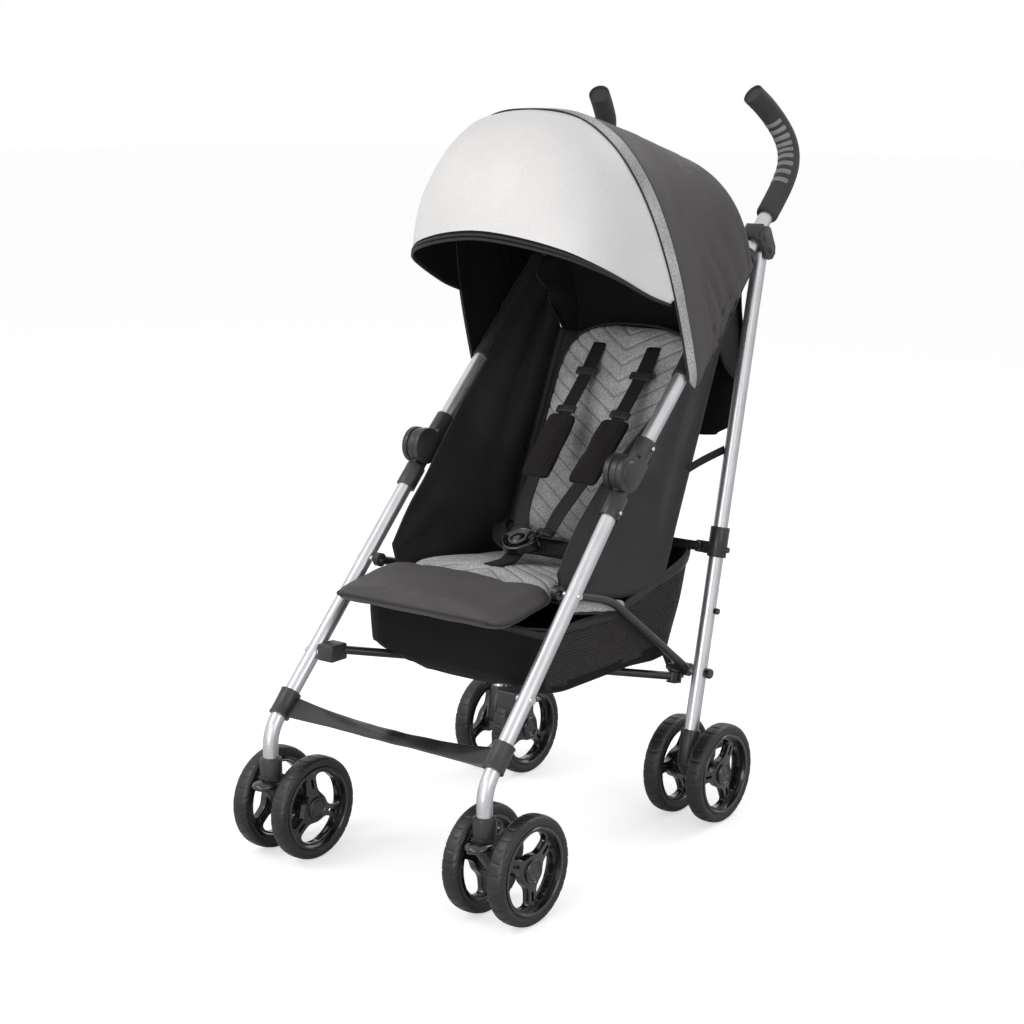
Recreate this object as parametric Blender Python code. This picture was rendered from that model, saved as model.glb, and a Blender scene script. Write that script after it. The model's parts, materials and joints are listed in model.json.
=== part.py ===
"""Lightweight umbrella-fold stroller. Metres, +Z up, the front faces -Y, the rear axle lies on y = 0."""

from math import asin, atan2, cos, pi, radians, sin

import bmesh
import bpy
from mathutils import Matrix, Vector

# Driving dimensions, side view as (y, z) measured from the rear axle
rear_axle_y = 0.1524
gap = 0.0003
tube_r = 0.011
sleeve_r = 0.0145
upper_x = 0.183
foot_x = 0.194
wheel_r = 0.075
rim_r = 0.0608
twin_offset = 0.0375
tyre_width = 0.027
front_axle_y = -0.4826
trail = 0.0439
caster_y = front_axle_y - trail
stem_foot_z = 0.130
splay_z = 0.208
bend_r = 0.060
knuckle = Vector((-0.2071, 0.5583))
knuckle_offset = 0.01340
lower_ref = Vector((front_axle_y, 0.2389))
upper_lean = radians(45.8)
upper_ref = Vector((-0.0862, 0.6544))
leg_top = Vector((0.146, 0.844))
leg_foot = Vector((-0.0285, 0.100))
link_bolt_z = 0.225
crossbar_z = 0.406
link_front_t = 0.2297
link_bend = Vector((-0.200, 0.372))
link_x = 0.1617
fork_x = 0.148
brace_drop = Vector((-0.020, 0.209))
brace_front_z = 0.289
brace_r = 0.0062
brace_lift = 0.0075
crossbar_x = 0.150
strut_x = 0.1305
pedal_x = 0.080
back_foot = Vector((-0.045, 0.380))
back_lean = radians(23.5)
back_length = 0.372
seat_half = 0.140
shell_half = 0.0015
cushion_depth = 0.027
strap_half = 0.0011
hood_half = 0.1985
wheel_sides = 28

to_knuckle = knuckle - lower_ref
lower_lean = atan2(to_knuckle.x, to_knuckle.y) + asin(knuckle_offset / to_knuckle.length)
lower_dir = Vector((sin(lower_lean), cos(lower_lean)))
link_front = lower_ref + lower_dir * link_front_t
upper_dir = Vector((sin(upper_lean), cos(upper_lean)))
leg_dir = (leg_top - leg_foot).normalized()
leg_front = Vector((-leg_dir.y, leg_dir.x))
back_dir = Vector((sin(back_lean), cos(back_lean)))
back_front = Vector((-back_dir.y, back_dir.x))


def leg_at(z):
    return leg_foot + leg_dir * ((z - leg_foot.y) / leg_dir.y)


def foot_of(point, ref, direction):
    """Where the normal from a point meets a tube's axis, as a distance from the tube's reference point."""
    return (point - ref).dot(direction)


link_pivot = leg_at(link_bolt_z)
crossbar_pivot = leg_at(crossbar_z)
knuckle_low = foot_of(knuckle, lower_ref, lower_dir)
knuckle_up = foot_of(knuckle, upper_ref, upper_dir)
bend_start_z = lower_ref.y + lower_dir.y * (caster_y - lower_ref.x) / lower_dir.x - bend_r * (
    (1 - cos(lower_lean)) / sin(lower_lean)
)
bend_centre = Vector((caster_y + bend_r, bend_start_z))
brace_front = lower_ref + lower_dir * ((brace_front_z - lower_ref.y) / lower_dir.y)
brace_dir = (brace_front - brace_drop).normalized()
brace_up = Vector((brace_dir.y, -brace_dir.x))


def leg_x(z):
    """The front legs spread a little towards the floor."""
    share = max(0.0, min(1.0, (knuckle.y - z) / (knuckle.y - splay_z)))
    return upper_x + (foot_x - upper_x) * share


for item in list(bpy.data.objects):
    bpy.data.objects.remove(item)

frame_origin = bpy.data.objects.new("frame_origin", None)
frame_origin.location = (0, rear_axle_y, 0)
bpy.context.scene.collection.objects.link(frame_origin)

looks = {
    "silver_tube": ((0.62, 0.63, 0.65), 0.35, 1.0),
    "black_plastic": ((0.02, 0.02, 0.022), 0.5, 0.0),
    "black_steel": ((0.03, 0.03, 0.032), 0.4, 0.6),
    "tyre_rubber": ((0.025, 0.025, 0.025), 0.75, 0.0),
    "grip_foam": ((0.05, 0.05, 0.055), 0.85, 0.0),
    "black_fabric": ((0.03, 0.03, 0.032), 0.95, 0.0),
    "charcoal_fabric": ((0.10, 0.095, 0.10), 0.95, 0.0),
    "heather_fabric": ((0.38, 0.38, 0.40), 0.95, 0.0),
    "silver_fabric": ((0.80, 0.79, 0.77), 0.7, 0.0),
}


def material(name):
    found = bpy.data.materials.get(name)
    if found:
        return found
    colour, roughness, metallic = looks[name]
    made = bpy.data.materials.new(name)
    made.use_nodes = True
    shader = made.node_tree.nodes["Principled BSDF"]
    shader.inputs["Base Color"].default_value = (*colour, 1)
    shader.inputs["Roughness"].default_value = roughness
    shader.inputs["Metallic"].default_value = metallic
    return made


def solid(name, verts, faces, flat_faces=True):
    """An object from points and faces, its normals turned outwards; bent faces are cut into triangles."""
    mesh = bpy.data.meshes.new(name)
    mesh.from_pydata([tuple(v) for v in verts], [], faces)
    work = bmesh.new()
    work.from_mesh(mesh)
    bmesh.ops.remove_doubles(work, verts=work.verts, dist=1e-6)
    bmesh.ops.recalc_face_normals(work, faces=work.faces)
    if not flat_faces:
        bmesh.ops.triangulate(work, faces=work.faces)
    work.to_mesh(mesh)
    work.free()
    made = bpy.data.objects.new(name, mesh)
    bpy.context.scene.collection.objects.link(made)
    return made


def loft(name, rings, loop=False, flat_faces=True):
    """Rings of equally many points joined in order: capped at both ends, or closed into a loop."""
    count = len(rings[0])
    verts = [point for ring in rings for point in ring]
    faces = []
    last = len(rings) if loop else len(rings) - 1
    for i in range(last):
        for j in range(count):
            a = i * count + j
            b = i * count + (j + 1) % count
            c = ((i + 1) % len(rings)) * count + (j + 1) % count
            d = ((i + 1) % len(rings)) * count + j
            faces.append((a, b, c, d))
    if not loop:
        faces.append(tuple(range(count)))
        faces.append(tuple(range((len(rings) - 1) * count, len(rings) * count)))
    return solid(name, verts, faces, flat_faces)


def square_to(direction):
    """Two unit vectors square to a direction, the first as level as it can be."""
    direction = Vector(direction).normalized()
    helper = Vector((1, 0, 0)) if abs(direction.x) < 0.9 else Vector((0, 0, 1))
    first = (helper - direction * helper.dot(direction)).normalized()
    return first, direction.cross(first)


def circle(centre, first, second, radius, sides, half_step=False):
    turn = pi / sides if half_step else 0
    angles = [turn + 2 * pi * i / sides for i in range(sides)]
    return [Vector(centre) + first * (radius * cos(a)) + second * (radius * sin(a)) for a in angles]


def rod(name, start, end, radius, sides=16, end_radius=None):
    start = Vector(start)
    end = Vector(end)
    first, second = square_to(end - start)
    stop = radius if end_radius is None else end_radius
    return loft(name, [circle(start, first, second, radius, sides), circle(end, first, second, stop, sides)])


def pipe(name, points, radius, sides=16):
    """A round bar along points."""
    points = [Vector(p) for p in points]
    rings = []
    first = square_to(points[1] - points[0])[0]
    for i, point in enumerate(points):
        before = points[max(i - 1, 0)]
        after = points[min(i + 1, len(points) - 1)]
        along = (after - before).normalized()
        first = (first - along * first.dot(along)).normalized()
        rings.append(circle(point, first, along.cross(first), radius, sides))
    return loft(name, rings)


def turned(name, profile, centre, axis, sides, half_step=False):
    """A closed profile of (radius, height) points turned about an axis."""
    axis = Vector(axis).normalized()
    first, second = square_to(axis)
    turn = pi / sides if half_step else 0
    rings = []
    for i in range(sides):
        angle = turn + 2 * pi * i / sides
        spoke = first * cos(angle) + second * sin(angle)
        rings.append([Vector(centre) + spoke * r + axis * h for r, h in profile])
    return loft(name, rings, loop=True)


def plate(name, outline, x0, x1):
    """A side-view outline of (y, z) points drawn out between two x values."""
    return loft(name, [[(x0, p[0], p[1]) for p in outline], [(x1, p[0], p[1]) for p in outline]])


def block(name, centre, along, across, half):
    """A box by its centre, two of its directions and its half sizes."""
    along = Vector(along).normalized()
    across = Vector(across).normalized()
    third = along.cross(across)
    ring = []
    for a, b in ((1, 1), (-1, 1), (-1, -1), (1, -1)):
        ring.append(Vector(centre) + across * (a * half[1]) + third * (b * half[2]))
    step = along * half[0]
    return loft(name, [[p - step for p in ring], [p + step for p in ring]])


def fuse(base, add=(), cut=()):
    for operation, helpers in (("UNION", add), ("DIFFERENCE", cut)):
        for helper in helpers:
            change = base.modifiers.new(operation.title(), "BOOLEAN")
            change.operation = operation
            change.solver = "EXACT"
            change.object = helper
            helper.hide_render = True
            helper.display_type = "WIRE"
            helper.parent = frame_origin
    return base


def finish(piece, name, look, pivot=(0, 0, 0), smooth=True):
    """Names a piece, gives it its material and sets its origin on its joint."""
    piece.name = name
    piece.data.name = name
    piece.data.materials.append(material(look))
    if smooth:
        for face in piece.data.polygons:
            face.use_smooth = True
    pivot = Vector(pivot)
    piece.data.transform(Matrix.Translation(-pivot))
    piece.location = pivot
    piece.parent = frame_origin
    return piece


def at(x, point):
    return Vector((x, point[0], point[1]))


def along_yz(direction):
    return Vector((0, direction[0], direction[1]))


def front_leg(s, tag):
    points = [(s * foot_x, caster_y, stem_foot_z)]
    for i in range(6):
        angle = lower_lean * i / 5
        y = bend_centre.x - bend_r * cos(angle)
        z = bend_centre.y + bend_r * sin(angle)
        points.append((s * leg_x(z), y, z))
    top = lower_ref + lower_dir * (knuckle_low - 0.035)
    points.append((s * leg_x(top.y), top.x, top.y))
    leg = pipe("leg", points, tube_r, 16)
    collar = rod("collar", (s * foot_x, caster_y, stem_foot_z - 0.002), (s * foot_x, caster_y, 0.150), 0.0150, 16)
    x_link = leg_x(link_front.y)
    rivet = rod("rivet", at(s * (x_link - 0.0145), link_front), at(s * (x_link + 0.0135), link_front), 0.0042, 10)
    x_brace = leg_x(brace_front.y)
    stub = rod("stub", at(s * 0.166, brace_front), at(s * (x_brace + 0.0135), brace_front), 0.0055, 10)
    socket = rod("socket", (s * foot_x, caster_y, 0.120), (s * foot_x, caster_y, 0.162), 0.0055, 12)
    fuse(leg, [collar, rivet, stub], [socket])
    finish(leg, "front_leg_" + tag, "silver_tube", at(s * upper_x, knuckle))


def knuckle_half(s, ref, direction, mid, sign, plates, disc_r):
    """Half of a fold joint: its discs about the knuckle pin and its sleeve on one tube."""
    out = direction * sign
    side_tilt = 0.0
    if sign < 0:
        side_tilt = (foot_x - upper_x) / (knuckle.y - splay_z) * direction.y
    start = ref + direction * (mid + sign * 0.030)
    end = ref + direction * (mid + sign * 0.066)
    x_start = upper_x + side_tilt * 0.030
    x_end = upper_x + side_tilt * 0.066
    sleeve = rod("sleeve", at(s * x_start, start), at(s * x_end, end), sleeve_r, 16)
    add = []
    for x0, x1 in plates:
        add.append(rod("disc", at(s * x0, knuckle), at(s * x1, knuckle), disc_r, 24))
        axis_point = ref + direction * mid
        towards = (knuckle - axis_point).normalized()
        centre = axis_point + out * 0.0175 + towards * 0.0005
        add.append(
            block(
                "neck",
                at(s * (x0 + x1) / 2, centre),
                along_yz(out),
                Vector((1, 0, 0)),
                (0.0165, (x1 - x0) / 2, 0.0125),
            )
        )
    rivet_at = ref + direction * (mid + sign * 0.056)
    x_rivet = upper_x + side_tilt * 0.056
    add.append(rod("rivet", at(s * (x_rivet + 0.0125), rivet_at), at(s * (x_rivet + 0.0165), rivet_at), 0.0042, 10))
    bore_start = ref + direction * (mid + sign * 0.0345)
    bore_end = ref + direction * (mid + sign * 0.080)
    bore = rod(
        "bore",
        at(s * (upper_x + side_tilt * 0.0345), bore_start),
        at(s * (upper_x + side_tilt * 0.080), bore_end),
        tube_r + gap,
        16,
    )
    return sleeve, add, [bore]


def knuckles(s, tag):
    pivot = at(s * upper_x, knuckle)
    lower, add, cut = knuckle_half(s, lower_ref, lower_dir, knuckle_low, -1, [(0.178, 0.188)], 0.026)
    cut.append(rod("pin_hole", at(s * 0.170, knuckle), at(s * 0.196, knuckle), 0.0085, 16))
    fuse(lower, add, cut)
    finish(lower, "knuckle_lower_" + tag, "black_plastic", pivot)
    plates = [(0.1685, 0.1765), (0.1895, 0.1975)]
    upper, add, cut = knuckle_half(s, upper_ref, upper_dir, knuckle_up, 1, plates, 0.027)
    add.append(rod("pin", at(s * 0.170, knuckle), at(s * 0.195, knuckle), 0.008, 16))
    add.append(rod("cap", at(s * 0.196, knuckle), at(s * 0.2005, knuckle), 0.019, 24, 0.0165))
    fuse(upper, add, cut)
    finish(upper, "knuckle_upper_" + tag, "black_plastic", pivot)


grip_line = [
    (0.183, 0.1600, 0.8936),
    (0.183, 0.1843, 0.9173),
    (0.182, 0.2070, 0.9400),
    (0.179, 0.2260, 0.9632),
    (0.173, 0.2367, 0.9856),
    (0.166, 0.2352, 1.0082),
    (0.157, 0.2243, 1.0309),
    (0.149, 0.2040, 1.0530),
    (0.141, 0.1826, 1.0710),
]


def upper_tube(s, tag):
    start = upper_ref + upper_dir * (knuckle_up + 0.035)
    end = upper_ref + upper_dir * foot_of(Vector((0.200, 0.9327)), upper_ref, upper_dir)
    tube = rod("tube", at(s * upper_x, start), at(s * upper_x, end), tube_r, 16)
    finish(tube, "upper_tube_" + tag, "silver_tube", at(s * upper_x, start))


def grip(s, tag):
    start = upper_ref + upper_dir * foot_of(Vector((0.1590, 0.8930)), upper_ref, upper_dir)
    mouth = upper_ref + upper_dir * foot_of(Vector((0.1500, 0.8800)), upper_ref, upper_dir)
    deep = upper_ref + upper_dir * foot_of(Vector((0.2008, 0.9335)), upper_ref, upper_dir)
    points = [at(s * upper_x, start)] + [(s * x, y, z) for x, y, z in grip_line[1:]]
    body = pipe("grip", points, 0.0165, 16)
    bore = rod("bore", at(s * upper_x, mouth), at(s * upper_x, deep), tube_r + gap, 16)
    tip = Vector(points[-1])
    inward = (Vector(points[-2]) - tip).normalized()
    dish = rod("dish", tip - inward * 0.01, tip + inward * 0.004, 0.0105, 16)
    fuse(body, [], [bore, dish])
    finish(body, "grip_" + tag, "grip_foam", points[0])


def top_bracket(s, tag):
    """The clamp on the upper tube with its ear, which carries the rear leg's pivot."""
    mid = upper_ref + upper_dir * foot_of(Vector((0.129, 0.8636)), upper_ref, upper_dir)
    clamp = block("clamp", at(s * upper_x, mid), along_yz(upper_dir), Vector((1, 0, 0)), (0.014, 0.0145, 0.0145))
    outline = []
    for centre, radius, first, last in ((leg_top, 0.0145, -150, 20), (Vector((0.136, 0.868)), 0.0125, 20, 130)):
        for i in range(5):
            angle = radians(first + (last - first) * i / 4)
            outline.append((centre.x + radius * cos(angle), centre.y + radius * sin(angle)))
    outline.append((0.119, 0.861))
    ear = plate("ear", outline, s * 0.1965, s * 0.2005)
    boss = rod("boss", at(s * 0.190, mid), at(s * 0.2005, mid), 0.0125, 16)
    pin = rod("pin", at(s * 0.170, leg_top), at(s * 0.1985, leg_top), 0.0045, 12)
    head = rod("head", at(s * 0.1995, leg_top), at(s * 0.2025, leg_top), 0.0045, 10)
    screw = rod("screw", at(s * 0.1995, mid), at(s * 0.2025, mid), 0.0045, 10)
    bore_a = mid - upper_dir * 0.03
    bore_b = mid + upper_dir * 0.03
    bore = rod("bore", at(s * upper_x, bore_a), at(s * upper_x, bore_b), tube_r + gap, 16)
    fuse(clamp, [ear, boss, pin, head, screw], [bore])
    finish(clamp, "top_bracket_" + tag, "black_plastic", at(s * upper_x, leg_top), smooth=False)


def rear_leg(s, tag):
    start = leg_foot
    end = leg_top - leg_dir * 0.004
    leg = rod("leg", at(s * upper_x, start), at(s * upper_x, end), tube_r, 16)
    eye = rod("eye", at(s * 0.1745, leg_top), at(s * 0.1915, leg_top), 0.0095, 16)
    bolt = rod("bolt", at(s * 0.180, link_pivot), at(s * 0.202, link_pivot), 0.0050, 12, 0.0042)
    pin = rod("pin", at(s * 0.180, link_pivot), at(s * 0.1385, link_pivot), 0.0040, 12)
    upright = along_yz(leg_dir)
    flat = along_yz(leg_front)
    lug = [block("lug", at(s * 0.1387, link_pivot), (1, 0, 0), upright, (0.0013, 0.0048, 0.0052))]
    for way in (-1, 1):
        centre = at(s * 0.1330, link_pivot) + flat * (way * 0.0042)
        lug.append(block("cheek", centre, (1, 0, 0), upright, (0.0065, 0.0044, 0.0010)))
    hinge = at(s * strut_x, link_pivot)
    lug.append(rod("hinge", hinge - flat * 0.0050, hinge + flat * 0.0050, 0.0026, 10))
    hole = rod("hole", at(s * 0.165, leg_top), at(s * 0.205, leg_top), 0.0049, 12)
    knob_at = leg_at(0.316)
    knob = rod("knob", at(s * 0.190, knob_at), at(s * 0.1985, knob_at), 0.0050, 12, 0.0040)
    fuse(leg, [eye, bolt, pin, knob] + lug, [hole])
    finish(leg, "rear_leg_" + tag, "silver_tube", at(s * upper_x, leg_top))


def leg_collar(s, tag):
    """The crossbar's collar on the rear leg, with a lug for the crossbar's hinge."""
    low = leg_at(crossbar_z - 0.012)
    high = leg_at(crossbar_z + 0.032)
    collar = rod("collar", at(s * upper_x, low), at(s * upper_x, high), sleeve_r, 16)
    lap = 0.004 * s
    lug_side = leg_front * (-lap)
    mid = crossbar_pivot - leg_front * (lap * 0.2)
    lug = block(
        "lug",
        at(s * 0.1585, mid + lug_side * 0.9),
        (1, 0, 0),
        along_yz(leg_dir),
        (0.0150, 0.0090, 0.0028),
    )
    web = block("web", at(s * 0.1690, crossbar_pivot), (1, 0, 0), along_yz(leg_dir), (0.0045, 0.0090, 0.0080))
    pin = rod(
        "pin",
        at(s * crossbar_x, crossbar_pivot - leg_front * (lap * 1.2)),
        at(s * crossbar_x, crossbar_pivot + leg_front * (lap * 2.3)),
        0.0030,
        10,
    )
    bolt = rod("bolt", at(s * 0.192, crossbar_pivot), at(s * 0.2025, crossbar_pivot), 0.0050, 12, 0.0042)
    bore = rod(
        "bore",
        at(s * upper_x, low - leg_dir * 0.02),
        at(s * upper_x, high + leg_dir * 0.02),
        tube_r + gap,
        16,
    )
    fuse(collar, [lug, web, pin, bolt], [bore])
    finish(collar, "leg_collar_" + tag, "black_plastic", at(s * upper_x, crossbar_pivot))


def cross_bar(s, tag):
    """Half of the folding crossbar; the two halves lie in planes side by side."""
    centre = crossbar_pivot + leg_front * (0.004 * s)
    inner = -0.008
    half_length = (crossbar_x - inner) / 2
    bar = block(
        "bar",
        at(s * (crossbar_x + inner) / 2, centre),
        (1, 0, 0),
        along_yz(leg_dir),
        (half_length, 0.0070, 0.0028),
    )
    eye = rod(
        "eye",
        at(s * crossbar_x, centre - leg_front * 0.0028),
        at(s * crossbar_x, centre + leg_front * 0.0028),
        0.0070,
        16,
    )
    hole = rod(
        "hole",
        at(s * crossbar_x, centre - leg_front * 0.02),
        at(s * crossbar_x, centre + leg_front * 0.02),
        0.0034,
        12,
    )
    fuse(bar, [eye], [hole])
    finish(bar, "cross_bar_" + tag, "black_steel", at(s * crossbar_x, crossbar_pivot))


def lock_pedal():
    """The fold lock's pedal, hinged on the crossbar's right half."""
    centre = crossbar_pivot + leg_front * 0.004
    hinge = centre - leg_dir * 0.0105
    hub = rod("hub", at(pedal_x - 0.020, hinge), at(pedal_x + 0.020, hinge), 0.0032, 12)
    behind = -leg_front
    arm = block(
        "arm",
        at(pedal_x, hinge + behind * 0.026 - leg_dir * 0.003),
        along_yz(behind),
        (1, 0, 0),
        (0.0260, 0.0140, 0.0020),
    )
    pad = block(
        "pad",
        at(pedal_x, hinge + behind * 0.048 - leg_dir * 0.003),
        along_yz(behind),
        (1, 0, 0),
        (0.0100, 0.0200, 0.0035),
    )
    fuse(hub, [arm, pad])
    finish(hub, "lock_pedal", "black_plastic", at(pedal_x, hinge))


def rear_strut(s, tag):
    """The flat strut from the lower bolt up to the crossbar's middle."""
    low = link_pivot
    end = leg_at(crossbar_z - 0.0125)
    start_3d = at(s * strut_x, low)
    end_3d = at(s * 0.014, end)
    along = (end_3d - start_3d).normalized()
    flat = along_yz(leg_front)
    centre = (start_3d + end_3d) / 2
    across = flat.cross(along)
    bar = block("bar", centre, along, across, ((end_3d - start_3d).length / 2, 0.0055, 0.0020))
    foot = rod("foot", start_3d - flat * 0.0026, start_3d + flat * 0.0026, 0.0062, 16)
    hole = rod("hole", start_3d - flat * 0.02, start_3d + flat * 0.02, 0.0030, 12)
    tip = rod("tip", end_3d - flat * 0.0020, end_3d + flat * 0.0020, 0.0055, 16)
    fuse(bar, [foot, tip], [hole])
    finish(bar, "rear_strut_" + tag, "black_steel", start_3d)


def rear_housing(s, tag):
    """The moulding at the foot of the rear leg, with the axle of the twin wheels."""
    top = leg_at(0.140)
    low = leg_foot - leg_dir * 0.010
    socket = rod("socket", at(s * upper_x, low), at(s * upper_x, top), sleeve_r, 16)
    outline = [
        (-0.040, 0.090),
        (-0.026, 0.068),
        (0.000, 0.058),
        (0.016, 0.066),
        (0.032, 0.088),
        (0.033, 0.106),
        (0.020, 0.112),
        (-0.014, 0.122),
        (-0.034, 0.118),
    ]
    body = plate("body", outline, s * (upper_x - 0.0115), s * (upper_x + 0.0115))
    axle = rod("axle", (s * (upper_x - 0.0480), 0, wheel_r), (s * (upper_x + 0.0480), 0, wheel_r), 0.0040, 12)
    slot = block("slot", (s * upper_x, 0.034, 0.102), (1, 0, 0), (0, 1, 0), (0.0062, 0.0200, 0.0180))
    pin = rod("pin", (s * (upper_x - 0.009), 0.025, 0.099), (s * (upper_x + 0.009), 0.025, 0.099), 0.0028, 10)
    bore = rod(
        "bore",
        at(s * upper_x, leg_foot - leg_dir * 0.0004),
        at(s * upper_x, top + leg_dir * 0.02),
        tube_r + gap,
        16,
    )
    fuse(body, [socket, axle], [slot, bore])
    fuse(body, [pin])
    finish(body, "rear_housing_" + tag, "black_plastic", (s * upper_x, 0, wheel_r), smooth=False)


def brake_lever(s, tag):
    outline = [
        (0.0180, 0.0990),
        (0.0200, 0.1045),
        (0.0260, 0.1060),
        (0.0500, 0.1010),
        (0.0780, 0.0975),
        (0.0780, 0.0905),
        (0.0500, 0.0930),
        (0.0260, 0.0925),
        (0.0200, 0.0940),
    ]
    arm = plate("arm", outline, s * (upper_x - 0.0050), s * (upper_x + 0.0050))
    pad = block("pad", (s * upper_x, 0.0860, 0.0935), (1, 0, 0), (0, 1, -0.25), (0.0200, 0.0100, 0.0030))
    hole = rod("hole", (s * (upper_x - 0.02), 0.025, 0.099), (s * (upper_x + 0.02), 0.025, 0.099), 0.0032, 10)
    fuse(arm, [pad], [hole])
    finish(arm, "brake_lever_" + tag, "black_plastic", (s * upper_x, 0.025, 0.099), smooth=False)


def caster_fork(s, tag):
    x = foot_x
    outline = [
        (caster_y - 0.0150, 0.1265),
        (caster_y + 0.0150, 0.1265),
        (caster_y + 0.0315, 0.1080),
        (front_axle_y + 0.0126, 0.0900),
        (front_axle_y + 0.0166, 0.0720),
        (front_axle_y + 0.0066, 0.0610),
        (front_axle_y - 0.0094, 0.0600),
        (front_axle_y - 0.0254, 0.0700),
        (caster_y - 0.0085, 0.1040),
    ]
    body = plate("body", outline, s * (x - 0.0110), s * (x + 0.0110))
    cap = rod("cap", (s * x, caster_y, 0.110), (s * x, caster_y, 0.1270), 0.0150, 16)
    pin = rod("pin", (s * x, caster_y, 0.120), (s * x, caster_y, 0.158), 0.0050, 12)
    axle = rod("axle", (s * (x - 0.0480), front_axle_y, wheel_r), (s * (x + 0.0480), front_axle_y, wheel_r), 0.0040, 12)
    fuse(body, [cap, pin, axle])
    finish(body, "caster_fork_" + tag, "black_plastic", (s * x, caster_y, 0.1275), smooth=False)


def wheel(x_mid, side, axle_y, tag):
    """One wheel of a twin pair: side is +1 where its hub cap looks towards +X."""
    centre = (x_mid + side * twin_offset, axle_y, wheel_r)
    axis = (side, 0, 0)
    flat_r = wheel_r / cos(pi / wheel_sides)
    ring = [(0.0520, -0.0100), (0.0560, -0.0110), (rim_r, -0.0110), (rim_r, 0.0110), (0.0560, 0.0110), (0.0520, 0.0100)]
    rim = turned("ring", ring, centre, axis, wheel_sides, half_step=True)
    hub = turned(
        "hub",
        [(0.0, 0.0140), (0.0, 0.0112), (0.0045, 0.0112), (0.0045, -0.0250), (0.0120, -0.0250), (0.0150, 0.0060), (0.0110, 0.0140)],
        centre,
        axis,
        14,
    )
    spokes = []
    for i in range(3):
        for shift in (-1, 1):
            angle = radians(90 + 120 * i)
            out = Vector((0, cos(angle), sin(angle)))
            across = Vector((0, -sin(angle), cos(angle)))
            middle = Vector(centre) + out * 0.0330 + across * (shift * 0.0068)
            spokes.append(block("spoke", middle, out, across, (0.0205, 0.0030, 0.0040)))
    fuse(hub, [rim] + spokes)
    finish(hub, "rim_" + tag, "black_plastic", centre, smooth=False)
    half = tyre_width / 2
    inner = (rim_r + gap) / cos(pi / wheel_sides)
    tread = [
        (inner, 0.0122 - half * 2 + 0.0020),
        (0.0680, -half),
        (flat_r - 0.0022, -half + 0.0035),
        (flat_r, -half + 0.0070),
        (flat_r, half - 0.0070),
        (flat_r - 0.0022, half - 0.0035),
        (0.0680, half),
        (inner, 0.0128),
    ]
    tyre = turned("tread", tread, centre, axis, wheel_sides, half_step=True)
    finish(tyre, "tyre_" + tag, "tyre_rubber", centre)


def side_link(s, tag):
    points = [at(s * link_x, link_pivot + (link_bend - link_pivot).normalized() * 0.006)]
    corner = link_bend
    before = (link_pivot - corner).normalized()
    after = (link_front - corner).normalized()
    for share in (0.0, 0.25, 0.5, 0.75, 1.0):
        a = corner + before * 0.030
        b = corner + after * 0.030
        point = a * (1 - share) ** 2 + corner * (2 * share * (1 - share)) + b * share**2
        points.append(at(s * link_x, point))
    points.append(at(s * link_x, link_front + (corner - link_front).normalized() * 0.006))
    bar = pipe("bar", points, 0.0062, 12)
    add = []
    cut = []
    for point in (link_pivot, link_front):
        add.append(rod("eye", at(s * (link_x - 0.0045), point), at(s * (link_x + 0.0045), point), 0.0100, 16))
        cut.append(rod("hole", at(s * (link_x - 0.02), point), at(s * (link_x + 0.02), point), 0.0044, 12))
    fuse(bar, add, cut)
    finish(bar, "side_link_" + tag, "black_steel", at(s * link_x, link_pivot))


def brace_fork(s, tag):
    """The yoke on the lower bolt that lets a brace bar swing up as the frame folds."""
    lift = brace_up * (brace_lift * s)
    hinge = brace_drop + lift
    eye = rod("eye", at(s * (fork_x - 0.0070), link_pivot), at(s * (fork_x + 0.0070), link_pivot), 0.0085, 16)
    away = (hinge - link_pivot).normalized()
    gap_edge = hinge - brace_dir * 0.0105
    web_mid = (link_pivot + away * 0.004 + gap_edge - brace_dir * 0.0035) / 2
    web_along = gap_edge - brace_dir * 0.0035 - (link_pivot + away * 0.004)
    web = block(
        "web",
        at(s * fork_x, web_mid),
        along_yz(web_along),
        (1, 0, 0),
        (web_along.length / 2 + 0.002, 0.0070, 0.0060),
    )
    back = block("back", at(s * fork_x, gap_edge - brace_dir * 0.002), along_yz(brace_dir), (1, 0, 0), (0.002, 0.007, 0.0100))
    add = [web, back]
    for way in (-1, 1):
        centre = hinge + brace_up * (way * 0.0085) - brace_dir * 0.0035
        add.append(block("cheek", at(s * fork_x, centre), along_yz(brace_dir), (1, 0, 0), (0.0090, 0.0070, 0.0015)))
    add.append(rod("pin", at(s * fork_x, hinge - brace_up * 0.0090), at(s * fork_x, hinge + brace_up * 0.0090), 0.0028, 10))
    hole = rod("hole", at(s * (fork_x - 0.02), link_pivot), at(s * (fork_x + 0.02), link_pivot), 0.0044, 12)
    fuse(eye, add, [hole])
    finish(eye, "brace_fork_" + tag, "black_plastic", at(s * fork_x, link_pivot))


def brace_bar(s, tag):
    lift = brace_up * (brace_lift * s)
    hinge = brace_drop + lift
    reach = (brace_front - brace_drop).length - 0.018
    start = at(s * fork_x, hinge)
    end = at(-s * 0.158, hinge + brace_dir * reach)
    along = (end - start).normalized()
    bar = pipe("bar", [start + along * 0.004, end], brace_r, 12)
    up = along_yz(brace_up)
    eye = rod("eye", start - up * 0.0062, start + up * 0.0062, 0.0070, 16)
    hole = rod("hole", start - up * 0.02, start + up * 0.02, 0.0032, 12)
    fuse(bar, [eye], [hole])
    finish(bar, "brace_bar_" + tag, "black_steel", start)


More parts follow.
